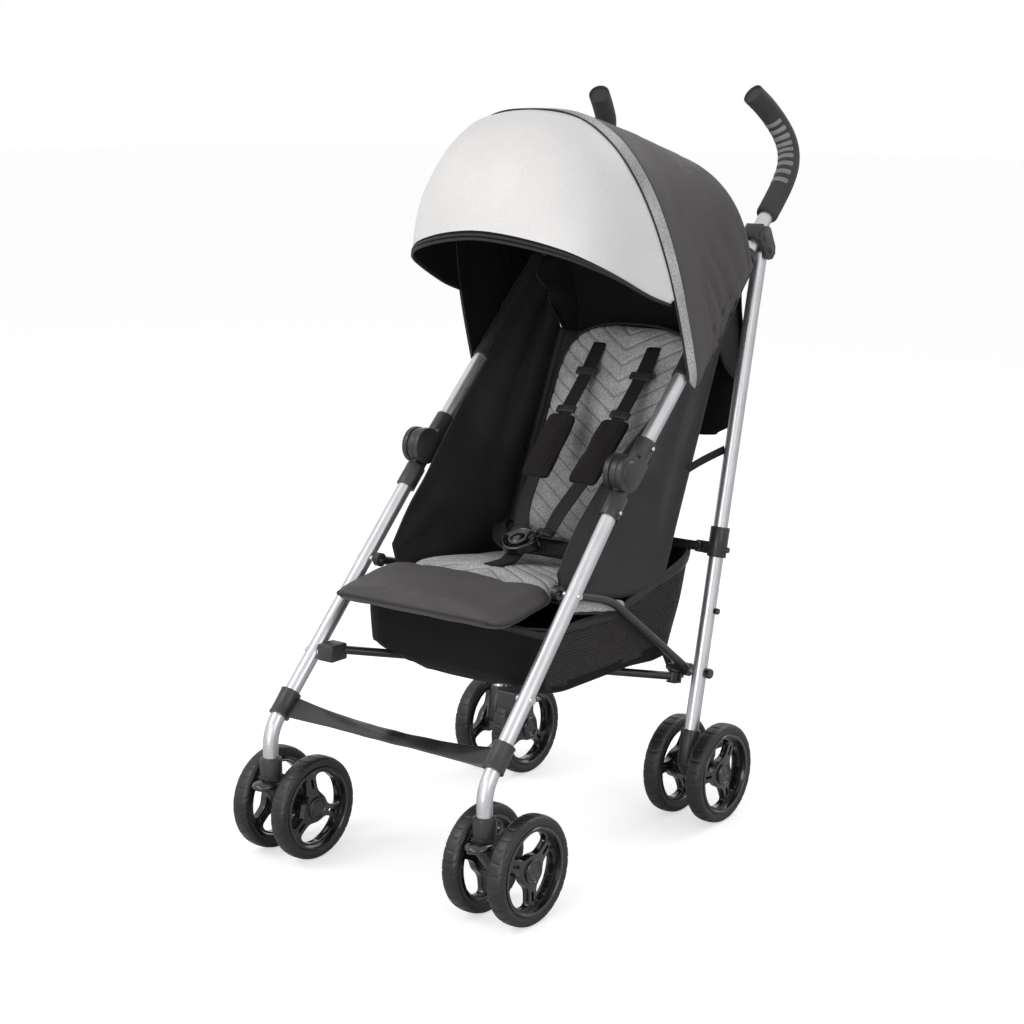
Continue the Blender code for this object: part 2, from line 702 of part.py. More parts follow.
def footrest():
    """The webbing across the front legs and its two moulded sleeves."""
    rings = []
    steps = 12
    for i in range(steps + 1):
        share = -1 + 2 * i / steps
        x = 0.1915 * share
        twist = abs(share) ** 3
        level = Vector((-0.985, -0.17))
        across = (level * (1 - twist) - lower_dir * twist).normalized()
        normal = Vector((-across.y, across.x))
        centre = Vector((-0.4965, 0.2225 - 0.006 * (1 - share**2)))
        half_width = 0.017
        ring = []
        for a, b in ((1, 1), (-1, 1), (-1, -1), (1, -1)):
            ring.append(at(x, centre + across * (a * half_width) + normal * (b * 0.0013)))
        rings.append(ring)
    strap = loft("strap", rings, flat_faces=False)
    add = []
    cut = []
    for s in (-1, 1):
        low = lower_ref - lower_dir * 0.039
        high = lower_ref
        line = lower_ref - lower_dir * 0.060, lower_ref + lower_dir * 0.030
        add.append(rod("sleeve", at(s * leg_x(low.y), low), at(s * leg_x(high.y), high), 0.0150, 16))
        cut.append(rod("bore", at(s * leg_x(line[0].y), line[0]), at(s * leg_x(line[1].y), line[1]), 0.0116, 16))
    fuse(strap, add, cut)
    finish(strap, "footrest", "black_fabric", (leg_x(0.2225), -0.4965, 0.2225), smooth=False)


def thick(name, rows, thickness, look, offset=1.0, pivot=(0, 0, 0)):
    """A sheet of rows of points, made solid by a Solidify modifier."""
    count = len(rows[0])
    verts = [point for row in rows for point in row]
    faces = []
    for i in range(len(rows) - 1):
        for j in range(count - 1):
            a = i * count + j
            faces.append((a, a + 1, a + count + 1, a + count))
    sheet = solid(name, verts, faces)
    grow = sheet.modifiers.new("Thickness", "SOLIDIFY")
    grow.thickness = thickness
    grow.offset = offset
    grow.use_even_offset = False
    return finish(sheet, name, look, pivot)


seat_base = [(-0.300, 0.385), (-0.240, 0.376), (-0.180, 0.368), (-0.120, 0.360), (-0.075, 0.360), (-0.0485, 0.372)]


def seat_z(y):
    """The height of the sling's middle surface under the cushion."""
    for (y0, z0), (y1, z1) in zip(seat_base, seat_base[1:]):
        if y <= y1:
            return z0 + (z1 - z0) * (y - y0) / (y1 - y0)
    return seat_base[-1][1]


def cushion_top(y):
    return seat_z(y) + shell_half + gap + cushion_depth * 1.10


def tube_z(y):
    return upper_ref.y + (y - upper_ref.x) * upper_dir.y / upper_dir.x


def seat_shell():
    """The sling: a base panel with a side wing up to each tube."""
    base = list(seat_base)
    sewn_x = upper_x - tube_r - gap - shell_half
    edge = [
        (-0.312, 0.430, 0.1500),
        (-0.275, 0.480, 0.1500),
        (-0.235, 0.520, 0.1510),
        (-0.195, 0.560, 0.1560),
        (-0.150, 0.598, 0.1640),
        (-0.115, tube_z(-0.115), sewn_x),
    ]
    for i in range(1, 6):
        share = i / 5
        point = back_foot + back_dir * (back_length * share * 0.96)
        base.append((point.x, point.y))
        edge.append((-0.115 + 0.175 * share, tube_z(-0.115 + 0.175 * share), sewn_x))
    rows = []
    for (y, z), (ey, ez, ex) in zip(base, edge):
        row = []
        for side in (-1, 1):
            wing = []
            for share in (1.0, 0.75, 0.5, 0.25):
                bulge = 0.004 * sin(pi * share)
                x = seat_half + 0.004 + (ex - seat_half - 0.004) * share + bulge * 0.5
                wing.append(Vector((side * x, y + (ey - y) * share, z + (ez - z) * share)))
            if side < 0:
                row += wing
                row += [Vector((x, y, z)) for x in (-0.144, -0.096, -0.048, 0.0, 0.048, 0.096, 0.144)]
            else:
                row += reversed(wing)
        rows.append(row)
    return thick("seat_shell", rows, shell_half * 2, "black_fabric", offset=0.0)


def slab(name, outline_rows, look, pivot=(0, 0, 0)):
    """A padded panel from closed cross-sections."""
    piece = loft(name, outline_rows)
    return finish(piece, name, look, pivot)


def pad_ring(centre, across_half, normal, thickness, crown):
    """A cushion's cross-section: flat beneath, crowned on top, drawn in at the sides."""
    ring = []
    profile = [(-1.0, 0.18), (-0.985, 0.62), (-0.90, 0.92), (-0.6, 1.0), (-0.2, 1.0 + crown), (0.2, 1.0 + crown)]
    profile += [(0.6, 1.0), (0.90, 0.92), (0.985, 0.62), (1.0, 0.18), (0.93, 0.0), (0.4, 0.0), (-0.4, 0.0), (-0.93, 0.0)]
    for share, height in profile:
        point = centre + normal * (thickness * height)
        ring.append(at(across_half * share, point))
    return ring


def seat_cushion():
    rows = []
    stations = [(-0.304, 0.3, 0.1290), (-0.296, 0.85, 0.1330), (-0.250, 1.0, 0.1345), (-0.170, 1.0, 0.1345)]
    stations += [(-0.115, 1.0, 0.1340), (-0.088, 0.85, 0.1320), (-0.079, 0.35, 0.1280)]
    for y, share, half in stations:
        z = seat_z(y) + shell_half + gap
        rows.append(pad_ring(Vector((y, z)), half, Vector((0.05, 1.0)).normalized(), cushion_depth * share, 0.10))
    return slab("seat_cushion", rows, "heather_fabric")


def backrest():
    """The reclining back: a panel with its quilted pad, rounded at the top."""
    rows = []
    stations = [(0.020, 0.5, 0.126), (0.030, 0.95, 0.132), (0.10, 1.0, 0.132), (0.20, 1.0, 0.131), (0.28, 1.0, 0.128)]
    stations += [(0.325, 1.0, 0.120), (0.350, 0.95, 0.102), (0.364, 0.80, 0.072), (0.370, 0.40, 0.045)]
    for t, share, half in stations:
        base = back_foot + back_dir * t + back_front * (shell_half + gap)
        rows.append(pad_ring(base, half, back_front, 0.021 * share, 0.08))
    return slab("backrest", rows, "heather_fabric", at(0, back_foot))


def leg_flap():
    rows = []
    stations = [(-0.446, 0.5, 0.146, 0.386), (-0.440, 0.9, 0.151, 0.3755), (-0.425, 1.0, 0.153, 0.3745)]
    stations += [(-0.380, 1.0, 0.153, 0.3790), (-0.340, 1.0, 0.151, 0.3850), (-0.318, 0.95, 0.145, 0.3880)]
    stations.append((-0.3046, 0.60, 0.1340, 0.3890))
    for y, share, half, z in stations:
        rows.append(pad_ring(Vector((y, z)), half, Vector((-0.05, 1.0)).normalized(), 0.024 * share, 0.06))
    return slab("leg_flap", rows, "charcoal_fabric")


def bow(height, apex, end, half_width):
    """A point on one of the hood's arches: height runs from 0 at its end to 1 at its apex."""
    power = 2.8
    reach = max(0.0, 1 - height**power) ** (1 / power)
    return half_width * reach, end[0] + (apex[0] - end[0]) * height, end[1] + (apex[1] - end[1]) * height


def arch(apex, end, half_width):
    row = []
    heights = [0.0, 0.16, 0.32, 0.48, 0.62, 0.75, 0.85, 0.93, 0.98, 1.0]
    for side, order in ((1, heights), (-1, heights[-2::-1])):
        for height in order:
            x, y, z = bow(height, apex, end, half_width)
            row.append(Vector((side * x, y, z)))
    return row


hood_front = ((-0.175, 1.050), (-0.062, 0.655), hood_half)


def canopy():
    """The hood's cover, from the front band over the rear bow and down behind the seat."""
    rows = [
        arch(*hood_front),
        arch((-0.135, 1.0500), (-0.040, 0.662), hood_half + 0.0010),
        arch((-0.085, 1.0400), (-0.020, 0.684), hood_half),
        arch((-0.040, 1.0290), (0.000, 0.703), hood_half - 0.0005),
        arch((0.000, 1.0130), (0.035, 0.745), hood_half - 0.0005),
        arch((0.040, 0.9940), (0.098, 0.818), hood_half),
        arch((0.070, 0.9760), (0.106, 0.810), hood_half * 0.927),
        arch((0.100, 0.9400), (0.118, 0.798), hood_half * 0.836),
        arch((0.126, 0.8900), (0.133, 0.775), hood_half * 0.811),
        arch((0.138, 0.8000), (0.141, 0.735), hood_half * 0.796),
        arch((0.143, 0.7100), (0.145, 0.680), hood_half * 0.796),
        arch((0.147, 0.6300), (0.148, 0.615), hood_half * 0.796),
        arch((0.149, 0.5600), (0.149, 0.555), hood_half * 0.796),
    ]
    cover = thick("canopy", rows, 0.0020, "charcoal_fabric", offset=-1.0, pivot=(0, 0.102, 0.842))
    slots = []
    for s in (1, -1):
        low = upper_ref + upper_dir * 0.225
        high = upper_ref + upper_dir * 0.300
        slots.append(rod("slot", at(s * upper_x, low), at(s * upper_x, high), tube_r + gap, 16))
    return fuse(cover, [], slots)


def canopy_visor():
    rim = [
        (hood_half * 0.952, -0.104, 0.782),
        (hood_half * 0.927, -0.150, 0.797),
        (hood_half * 0.882, -0.210, 0.824),
        (hood_half * 0.796, -0.252, 0.843),
        (hood_half * 0.630, -0.277, 0.858),
        (hood_half * 0.3275, -0.294, 0.871),
        (0.0, -0.3000, 0.877),
    ]
    heights = [0.34, 0.46, 0.62, 0.77, 0.89, 0.975, 1.0]
    rows = []
    for step in range(7):
        turn = radians(90) * step / 6
        row = []
        for side in (1, -1):
            part = []
            for (rx, ry, rz), height in zip(rim, heights):
                bx, by, bz = bow(height, *hood_front)
                by -= 0.0009
                x = rx + (bx - rx) * cos(turn)
                y = by + (ry - by) * sin(turn)
                z = rz + (bz - rz) * cos(turn)
                part.append(Vector((side * x, y, z)))
            row += part if side > 0 else list(reversed(part[:-1]))
        rows.append(row)
    return thick("canopy_visor", rows, 0.0020, "silver_fabric", offset=-1.0, pivot=(0, -0.165, 0.80))


def basket():
    """The basket: its floor hangs in folds over the crossed brace bars."""
    front_y = -0.345
    rear_y = -0.036
    half = 0.134
    steps = 12

    def floor(x, y):
        height = 0.250 + 0.030 * (abs(x) / half) ** 2 * max(0.0, min(1.0, (-0.15 - y) / 0.2))
        for s in (1, -1):
            start = at(s * fork_x, brace_drop)
            reach = (brace_front - brace_drop).length - 0.018
            end = at(-s * 0.158, brace_drop + brace_dir * reach)
            share = (start.y - y) / (start.y - end.y)
            bar_x = start.x + (end.x - start.x) * share
            slope = (start - end).xy.normalized()
            distance = abs((x - bar_x) * slope.y)
            top = start.z + (end.z - start.z) * share + brace_lift * s + brace_r + 0.0016
            height = max(height, top - 0.6 * max(0.0, distance - 0.017))
        return height

    grid = []
    for i in range(steps + 1):
        y = front_y + (rear_y - front_y) * i / steps
        row = []
        for j in range(steps + 1):
            x = -half + 2 * half * j / steps
            row.append(Vector((x, y, floor(x, y))))
        grid.append(row)
    verts = [point for row in grid for point in row]
    faces = []
    count = steps + 1
    for i in range(steps):
        for j in range(steps):
            a = i * count + j
            faces.append((a, a + 1, a + count + 1, a + count))
    ring = [j for j in range(count)]
    ring += [i * count + steps for i in range(1, count)]
    ring += [steps * count + j for j in range(steps - 1, -1, -1)]
    ring += [i * count for i in range(steps - 1, 0, -1)]
    top_of = []
    for index in ring:
        point = verts[index]
        along = (point.y - front_y) / (rear_y - front_y)
        x = point.x / half * 0.1455
        y = -0.386 + (0.026 + 0.386) * along
        if along < 0.75:
            z = 0.352
        else:
            z = 0.352 + 0.042 * (along - 0.75) / 0.25
        top_of.append(Vector((x, y, z)))
    below = ring
    for level in (0.45, 1.0):
        start = len(verts)
        for index, top in zip(ring, top_of):
            foot = verts[index]
            verts.append(foot + (top - foot) * level)
        above = list(range(start, start + len(ring)))
        for k in range(len(ring)):
            n = (k + 1) % len(ring)
            faces.append((below[k], below[n], above[n], above[k]))
        below = above
    shell = solid("basket", verts, faces)
    grow = shell.modifiers.new("Thickness", "SOLIDIFY")
    grow.thickness = 0.0022
    grow.offset = -1.0
    grow.use_even_offset = False
    return finish(shell, "basket", "black_fabric")


buckle_mid = Vector((-0.203, 0.4335))
buckle_up = Vector((-0.45, 0.893))


def webbing(name, stations, width, thickness):
    """A strap through stations of (point, normal)."""
    rings = []
    for i, (point, normal) in enumerate(stations):
        before = Vector(stations[max(i - 1, 0)][0])
        after = Vector(stations[min(i + 1, len(stations) - 1)][0])
        along = (after - before).normalized()
        normal = Vector(normal)
        normal = (normal - along * normal.dot(along)).normalized()
        across = along.cross(normal)
        ring = []
        for a, b in ((1, 1), (-1, 1), (-1, -1), (1, -1)):
            ring.append(Vector(point) + across * (a * width / 2) + normal * (b * thickness / 2))
        rings.append(ring)
    return loft(name, rings, flat_faces=False)


def harness():
    """Five straps that meet in a plate under the buckle, with a pad on each shoulder strap."""
    low = buckle_mid - buckle_up * 0.0075
    level = Vector((buckle_up.y, -buckle_up.x))
    hub = rod("hub", at(0, low - buckle_up * 0.0025), at(0, low + buckle_up * 0.0025), 0.0180, 20)
    add = []
    face = along_yz(back_front)
    lift = along_yz(buckle_up)
    for s in (-1, 1):
        slot = back_foot + back_dir * 0.333 + back_front * 0.0250
        shoulder = [
            (at(s * 0.050, slot), face),
            (at(s * 0.050, slot + Vector((-0.045, -0.052))), face),
            (at(s * 0.049, Vector((-0.042, 0.583))), face),
            (at(s * 0.046, Vector((-0.100, 0.525))), face),
            (at(s * 0.034, Vector((-0.150, 0.474))), face + lift * 0.5),
            (at(s * 0.020, low + level * 0.028), lift),
            (at(s * 0.008, low + level * 0.006), lift),
        ]
        add.append(webbing("shoulder", shoulder, 0.025, strap_half * 2))
        pad = [
            (at(s * 0.0492, Vector((-0.030, 0.595))), face),
            (at(s * 0.0490, Vector((-0.042, 0.583))), face),
            (at(s * 0.0460, Vector((-0.100, 0.525))), face),
            (at(s * 0.0435, Vector((-0.113, 0.512))), face),
        ]
        add.append(webbing("pad", pad, 0.050, 0.0130))
        waist = [
            (at(s * 0.010, low), lift),
            (at(s * 0.045, low + Vector((0.020, -0.003))), lift),
            (at(s * 0.090, Vector((-0.125, 0.4225))), lift),
            (at(s * 0.124, Vector((-0.075, 0.424))), lift),
        ]
        add.append(webbing("waist", waist, 0.025, strap_half * 2))
    crotch = [
        (at(0, low), lift),
        (at(0, low - level * 0.028), lift),
        (at(0, Vector((-0.242, cushion_top(-0.242) + 0.0017))), (0, 0, 1)),
        (at(0, Vector((-0.266, cushion_top(-0.266) + 0.0017))), (0, 0, 1)),
    ]
    add.append(webbing("crotch", crotch, 0.030, strap_half * 2))
    fuse(hub, add)
    finish(hub, "harness", "black_fabric", smooth=False)


def buckle():
    base = buckle_mid - buckle_up * 0.0047
    top = buckle_mid + buckle_up * 0.0095
    body = rod("body", at(0, base), at(0, top), 0.0270, 24, 0.0230)
    well = rod("well", at(0, buckle_mid + buckle_up * 0.0020), at(0, top + buckle_up * 0.02), 0.0160, 24)
    fuse(body, [], [well])
    finish(body, "buckle", "black_plastic", at(0, buckle_mid))
    button = rod("button", at(0, buckle_mid + buckle_up * 0.0050), at(0, top + buckle_up * 0.0025), 0.0152, 20, 0.0140)
    finish(button, "buckle_button", "black_plastic", at(0, top))


for s, tag in ((1, "r"), (-1, "l")):
    front_leg(s, tag)
    knuckles(s, tag)
    upper_tube(s, tag)
    grip(s, tag)
    top_bracket(s, tag)
    rear_leg(s, tag)
    leg_collar(s, tag)
    cross_bar(s, tag)
    rear_strut(s, tag)
    rear_housing(s, tag)
    brake_lever(s, tag)
    caster_fork(s, tag)
    side_link(s, tag)
    brace_fork(s, tag)
    brace_bar(s, tag)
    for side, end in ((1, "out"), (-1, "in")):
        wheel(s * foot_x, s * side, front_axle_y, "front_" + tag + "_" + end)
        wheel(s * upper_x, s * side, 0.0, "rear_" + tag + "_" + end)
lock_pedal()
footrest()
seat_shell()
seat_cushion()
backrest()
leg_flap()
canopy()
canopy_visor()
basket()
harness()
buckle()
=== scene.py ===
import json
import math

import bmesh
import bpy
from mathutils import Matrix, Vector, noise


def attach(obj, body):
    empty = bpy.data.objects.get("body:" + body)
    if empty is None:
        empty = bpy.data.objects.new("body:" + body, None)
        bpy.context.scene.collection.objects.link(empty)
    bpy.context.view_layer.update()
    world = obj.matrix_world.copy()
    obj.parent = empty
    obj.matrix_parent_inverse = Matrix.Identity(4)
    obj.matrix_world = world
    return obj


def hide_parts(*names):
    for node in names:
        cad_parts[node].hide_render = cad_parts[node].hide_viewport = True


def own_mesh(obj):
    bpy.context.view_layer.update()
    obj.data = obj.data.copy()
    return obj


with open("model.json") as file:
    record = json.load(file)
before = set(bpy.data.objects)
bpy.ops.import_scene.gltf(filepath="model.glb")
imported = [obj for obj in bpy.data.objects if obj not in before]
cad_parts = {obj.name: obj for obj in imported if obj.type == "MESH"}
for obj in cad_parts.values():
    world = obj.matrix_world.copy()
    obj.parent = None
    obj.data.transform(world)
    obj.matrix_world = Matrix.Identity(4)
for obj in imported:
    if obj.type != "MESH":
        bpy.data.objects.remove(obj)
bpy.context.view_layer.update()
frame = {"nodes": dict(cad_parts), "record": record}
nodes = frame["nodes"]
record = frame["record"]
bodyOf = {node: body for body, held in record["behaviour"]["bodies"].items() for node in held}
scene = bpy.context.scene
scene.view_settings.view_transform = "Standard"
rearAxleY = 0.1524  # side-view numbers below are measured from the rear axle
sides = ((1, "R"), (-1, "L"))


def at(x, y, z):
    return Vector((x, y + rearAxleY, z))


def lean(degrees):
    return Vector((0, math.sin(math.radians(degrees)), math.cos(math.radians(degrees))))


# the two straight runs of a side tube, each by its lean and the y and z of a point on it
upperPoint, knucklePoint, lowerPoint = (-0.0862, 0.6544), (-0.2071, 0.5583), (-0.4826, 0.2389)
lowerTilt = 42.6
upperLean, lowerLean = lean(45.8), lean(lowerTilt)

print("frame loaded")

# camera, lamps and floor

cameraSet = {"place": (1.74608, -2.29976, 1.07249), "turn": 38.044, "drop": 11.774, "lens": 70.66}
bpy.ops.object.camera_add(
    location=cameraSet["place"],
    rotation=(math.radians(90 - cameraSet["drop"]), 0, math.radians(cameraSet["turn"])),
)
camera = bpy.context.object
camera.data.lens = cameraSet["lens"]
camera.data.sensor_width = 36
scene.camera = camera

lampSet = [
    # name, place, size, watts, colour
    ("keyLamp", (-1.5, -2.6, 2.9), 1.8, 36, (1.0, 0.99, 0.98)),
    ("frontLamp", (0.5, -3.3, 0.9), 1.5, 26, (1.0, 1.0, 1.0)),
    ("fillLamp", (2.9, -1.3, 1.5), 1.6, 13, (0.98, 0.99, 1.0)),
    ("rimLamp", (0.6, 2.4, 2.6), 1.6, 20, (1.0, 1.0, 1.0)),
]
for name, place, size, watts, colour in lampSet:
    bpy.ops.object.light_add(type="AREA", location=place)
    lamp = bpy.context.object
    lamp.name = name
    lamp.data.shape = "DISK"
    lamp.data.size = size
    lamp.data.energy = watts
    lamp.data.color = colour
    lamp.rotation_euler = (Vector((0, 0, 0.5)) - Vector(place)).to_track_quat("-Z", "Y").to_euler()


class Wire:  # a shader socket that can be used in plain sums
    def __init__(self, look, socket):
        self.look = look
        self.socket = socket

    def __add__(self, other):
        return self.look.maths("ADD", self, other)

    def __radd__(self, other):
        return self.look.maths("ADD", other, self)

    def __sub__(self, other):
        return self.look.maths("SUBTRACT", self, other)

    def __rsub__(self, other):
        return self.look.maths("SUBTRACT", other, self)

    def __mul__(self, other):
        return self.look.maths("MULTIPLY", self, other)

    def __rmul__(self, other):
        return self.look.maths("MULTIPLY", other, self)


class Look:  # a material being made
    def __init__(self, name, colour=(0.5, 0.5, 0.5), **fixed):
        self.material = bpy.data.materials.new(name)
        self.material.use_nodes = True
        self.tree = self.material.node_tree
        self.shader = self.tree.nodes["Principled BSDF"]
        self.shader.inputs["Base Color"].default_value = (*colour, 1)
        for socket, value in fixed.items():
            self.shader.inputs[socket.replace("_", " ")].default_value = value

    def node(self, kind, settings=None, inputs=None, output=0):
        made = self.tree.nodes.new(kind)
        for name, value in (settings or {}).items():
            setattr(made, name, value)
        for name, value in (inputs or {}).items():
            if isinstance(value, Wire):
                self.tree.links.new(value.socket, made.inputs[name])
            else:
                made.inputs[name].default_value = value
        return Wire(self, made.outputs[output])

    def maths(self, operation, *values):
        return self.node("ShaderNodeMath", {"operation": operation}, dict(enumerate(values)))

    def place(self, kind="Object", stretch=(1, 1, 1), turn=(0, 0, 0)):
        spot = self.node("ShaderNodeTexCoord", output=kind)
        return self.node("ShaderNodeMapping", None, {"Vector": spot, "Scale": stretch, "Rotation": turn})

    def noise(self, scale, detail=2.0, spot=None):
        spot = spot or self.place()
        return self.node("ShaderNodeTexNoise", None, {"Vector": spot, "Scale": scale, "Detail": detail})

    def range(self, value, low, high, outLow=0.0, outHigh=1.0):
        return self.node("ShaderNodeMapRange", None, {0: value, 1: low, 2: high, 3: outLow, 4: outHigh})

    def mix(self, share, first, second):
        first = first if isinstance(first, Wire) else (*first, 1)
        second = second if isinstance(second, Wire) else (*second, 1)
        return self.node("ShaderNodeMix", {"data_type": "RGBA"}, {0: share, 6: first, 7: second}, 2)

    def apart(self, vector):
        split = self.node("ShaderNodeSeparateXYZ", None, {0: vector})
        return [Wire(self, split.socket.node.outputs[i]) for i in range(3)]

    def feed(self, socket, value):
        self.tree.links.new(value.socket, self.shader.inputs[socket])

    def bump(self, height, distance, strength=1.0):
        made = self.node("ShaderNodeBump", None, {"Height": height, "Distance": distance, "Strength": strength})
        self.feed("Normal", made)

    def weave(self, pitch):  # crossing threads that follow whichever way the surface faces
        x, y, z = self.apart(self.place())
        nx, ny, nz = self.apart(self.node("ShaderNodeTexCoord", output="Normal"))
        turns = 2 * math.pi / pitch
        sx, sy, sz = (self.maths("SINE", part * turns) for part in (x, y, z))
        ax, ay, az = (self.maths("ABSOLUTE", part) for part in (nx, ny, nz))
        return ax * (sy * sz) + ay * (sx * sz) + az * (sx * sy)


def clothLook(
    name, dark, light, roughness=0.8, sheen=0.15, pitch=0.0016, fleck=700, depth=0.0004, lustre=0.12, seamShade=None
):
    look = Look(name, Sheen_Weight=sheen, Sheen_Roughness=0.5, Specular_IOR_Level=lustre)
    threads = look.weave(pitch)
    flecks = look.noise(fleck, 3)
    patches = look.noise(14, 3)
    tone = look.range(flecks * 0.55 + patches * 0.25 + threads * 0.12, 0.28, 0.56)
    if seamShade:  # painted shade in the creases of the sewn chevrons, darker along them
        x, y, z = look.apart(look.place())
        offset, alongY, alongZ, spacing, slope = seamShade
        run = (y * alongY + z * alongZ - offset - look.maths("ABSOLUTE", x) * slope) * (1 / spacing)
        off = look.maths("ABSOLUTE", look.maths("FRACT", run) - 0.5)
        tone = tone * look.range(off, 0.40, 0.48, 1.0, 0.30)
    look.feed("Base Color", look.mix(tone, dark, light))
    look.feed("Roughness", look.range(patches, 0.3, 0.7, roughness - 0.08, roughness + 0.08))
    look.bump(threads * 0.5 + flecks * 0.6, depth, 0.6)
    return look


def plasticLook(name, colour, roughness, grain=900, depth=0.00012, coat=0.0):
    look = Look(name, colour, Coat_Weight=coat, Coat_Roughness=0.12, Specular_IOR_Level=0.45)
    fine = look.noise(grain, 2)
    broad = look.noise(22, 4)
    lighter = tuple(min(1.0, part * 1.7 + 0.004) for part in colour)
    look.feed("Base Color", look.mix(look.range(broad * 0.7 + fine * 0.3, 0.35, 0.7), colour, lighter))
    look.feed("Roughness", look.range(broad, 0.3, 0.7, roughness - 0.06, roughness + 0.1))
    look.bump(fine, depth, 0.5)
    return look


def metalLook(name, colour, roughness, metallic, scratch=0.25):
    look = Look(name, colour, Metallic=metallic)
    drawn = look.noise(240, 3, look.place(stretch=(1, 0.12, 0.12)))
    grit = look.noise(1400, 1)
    darker = tuple(part * 0.86 for part in colour)
    look.feed("Base Color", look.mix(look.range(drawn * 0.6 + grit * 0.4, 0.35, 0.65), darker, colour))
    look.feed("Roughness", look.range(drawn * 0.5 + grit * 0.5, 0.3, 0.7, roughness - 0.05, roughness + 0.09))
    look.bump(grit * 0.5 + drawn * 0.5, 0.00006, scratch)
    return look


heatherSet = [(0.18, 0.18, 0.188), (0.90, 0.90, 0.925), 0.88, 0.15, 0.0022, 620, 0.0005]
looks = {
    "silver": metalLook("silverTube", (0.66, 0.67, 0.69), 0.30, 0.82),
    "zinc": metalLook("zincRivet", (0.72, 0.70, 0.66), 0.22, 1.0),
    "plastic": plasticLook("mouldedPlastic", (0.026, 0.025, 0.027), 0.34),
    "gloss": plasticLook("glossPlastic", (0.008, 0.0075, 0.008), 0.17, 500, 0.00005, 0.6),
    "steel": plasticLook("blackSteel", (0.014, 0.014, 0.015), 0.30, 700, 0.00005, 0.15),
    "tyre": plasticLook("tyreRubber", (0.014, 0.013, 0.0135), 0.38, 420, 0.0002),
    "foam": plasticLook("gripFoam", (0.030, 0.027, 0.029), 0.72, 1500, 0.0004),
    "insert": plasticLook("gripInsert", (0.17, 0.17, 0.178), 0.55, 1200, 0.0003),
    "black": clothLook("blackFabric", (0.012, 0.010, 0.0105), (0.034, 0.030, 0.031), 0.52, 0.04, 0.0013, lustre=0.32),
    "lining": clothLook("blackLining", (0.006, 0.006, 0.006), (0.014, 0.012, 0.012), 0.75, 0.02, 0.0013),
    "charcoal": clothLook(
        "charcoalFabric", (0.058, 0.052, 0.055), (0.100, 0.091, 0.097), 0.58, 0.08, 0.0013, lustre=0.25
    ),
    "heather": clothLook("heatherFabric", *heatherSet),
    "visor": clothLook(
        "visorFabric", (0.74, 0.73, 0.725), (0.86, 0.85, 0.845), 0.40, 0.05, 0.0012, 500, 0.00015, 0.35
    ),
    "padCloth": clothLook("padFabric", (0.010, 0.009, 0.0085), (0.030, 0.026, 0.025), 0.78, 0.05, 0.0011),
}


def webbingLook(name, dark, light):  # ribs that follow the strap's own map
    look = Look(name, Specular_IOR_Level=0.2)
    across, along = look.apart(look.place("UV"))[:2]
    ribs = look.maths("SINE", along * 2600.0)
    rows = look.maths("SINE", across * 1900.0)
    tone = look.range(ribs * 0.4 + rows * 0.2 + look.noise(800, 2), 0.0, 1.2)
    look.feed("Base Color", look.mix(tone, dark, light))
    look.feed("Roughness", look.range(rows, -1.0, 1.0, 0.5, 0.7))
    look.bump(ribs * 0.6 + rows * 0.4, 0.0003, 0.6)
    return look


def meshLook(name):  # knitted net, open between its threads
    look = Look(name, Roughness=0.7, Specular_IOR_Level=0.1)
    y, z = look.apart(look.place())[1:]
    first = look.maths("SINE", (y + z) * 720.0)
    second = look.maths("SINE", (y - z) * 720.0)
    hole = look.range(first * second, 0.05, 0.35)
    look.feed("Alpha", 1 - hole * 0.6)
    look.feed("Base Color", look.mix(look.noise(500, 2), (0.030, 0.027, 0.028), (0.066, 0.060, 0.061)))
    return look


looks["webbing"] = webbingLook("webbing", (0.009, 0.009, 0.0095), (0.034, 0.032, 0.033))
looks["net"] = meshLook("basketNet")


def floorLook():  # white behind the object, with its soft shadow
    look = Look("paleFloor", (0.80, 0.80, 0.80), Roughness=0.9, Specular_IOR_Level=0.1)
    seen = look.node("ShaderNodeLightPath", output="Is Camera Ray")
    glow = look.node("ShaderNodeEmission", None, {"Color": (1, 1, 1, 1), "Strength": seen * 0.56})
    both = look.node("ShaderNodeAddShader", None, {0: Wire(look, look.shader.outputs[0]), 1: glow})
    look.tree.links.new(both.socket, look.tree.nodes["Material Output"].inputs["Surface"])
    return look


world = bpy.data.worlds.new("studio")
scene.world = world
world.use_nodes = True
sky = Look.__new__(Look)
sky.tree = world.node_tree
path = sky.node("ShaderNodeLightPath")
rays = ("Is Camera Ray", "Is Glossy Ray", "Is Transmission Ray")
clear = [Wire(sky, path.socket.node.outputs[name]) for name in rays]
white = sky.maths("MAXIMUM", clear[0], sky.maths("MAXIMUM", clear[1] * 0.92, clear[2]))
glow = sky.range(white, 0.0, 1.0, 0.50, 1.0)
backdrop = sky.node("ShaderNodeBackground", None, {"Color": (1, 1, 1, 1), "Strength": glow})
world.node_tree.links.new(backdrop.socket, world.node_tree.nodes["World Output"].inputs["Surface"])

bpy.ops.mesh.primitive_plane_add(size=60, location=(0, 0, 0))
floor = bpy.context.object
floor.name = "floor"
floor.data.materials.append(floorLook().material)
print("camera, lamps and looks made")


# shared tools

def only(piece):
    bpy.ops.object.select_all(action="DESELECT")
    piece.select_set(True)
    bpy.context.view_layer.objects.active = piece


folding = []  # what closes sideways with the frame


def wear(piece, look, body, replaced=()):
    piece.data.materials.clear()
    piece.data.materials.append(looks[look].material)
    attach(piece, body)
    if body in ("seat_unit", "back_unit", "hood_unit", "visor_unit"):
        folding.append(piece)
    if replaced:
        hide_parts(*replaced)
    return piece


def camel(node):
    words = node.split("_")
    return words[0] + "".join(word.capitalize() for word in words[1:])


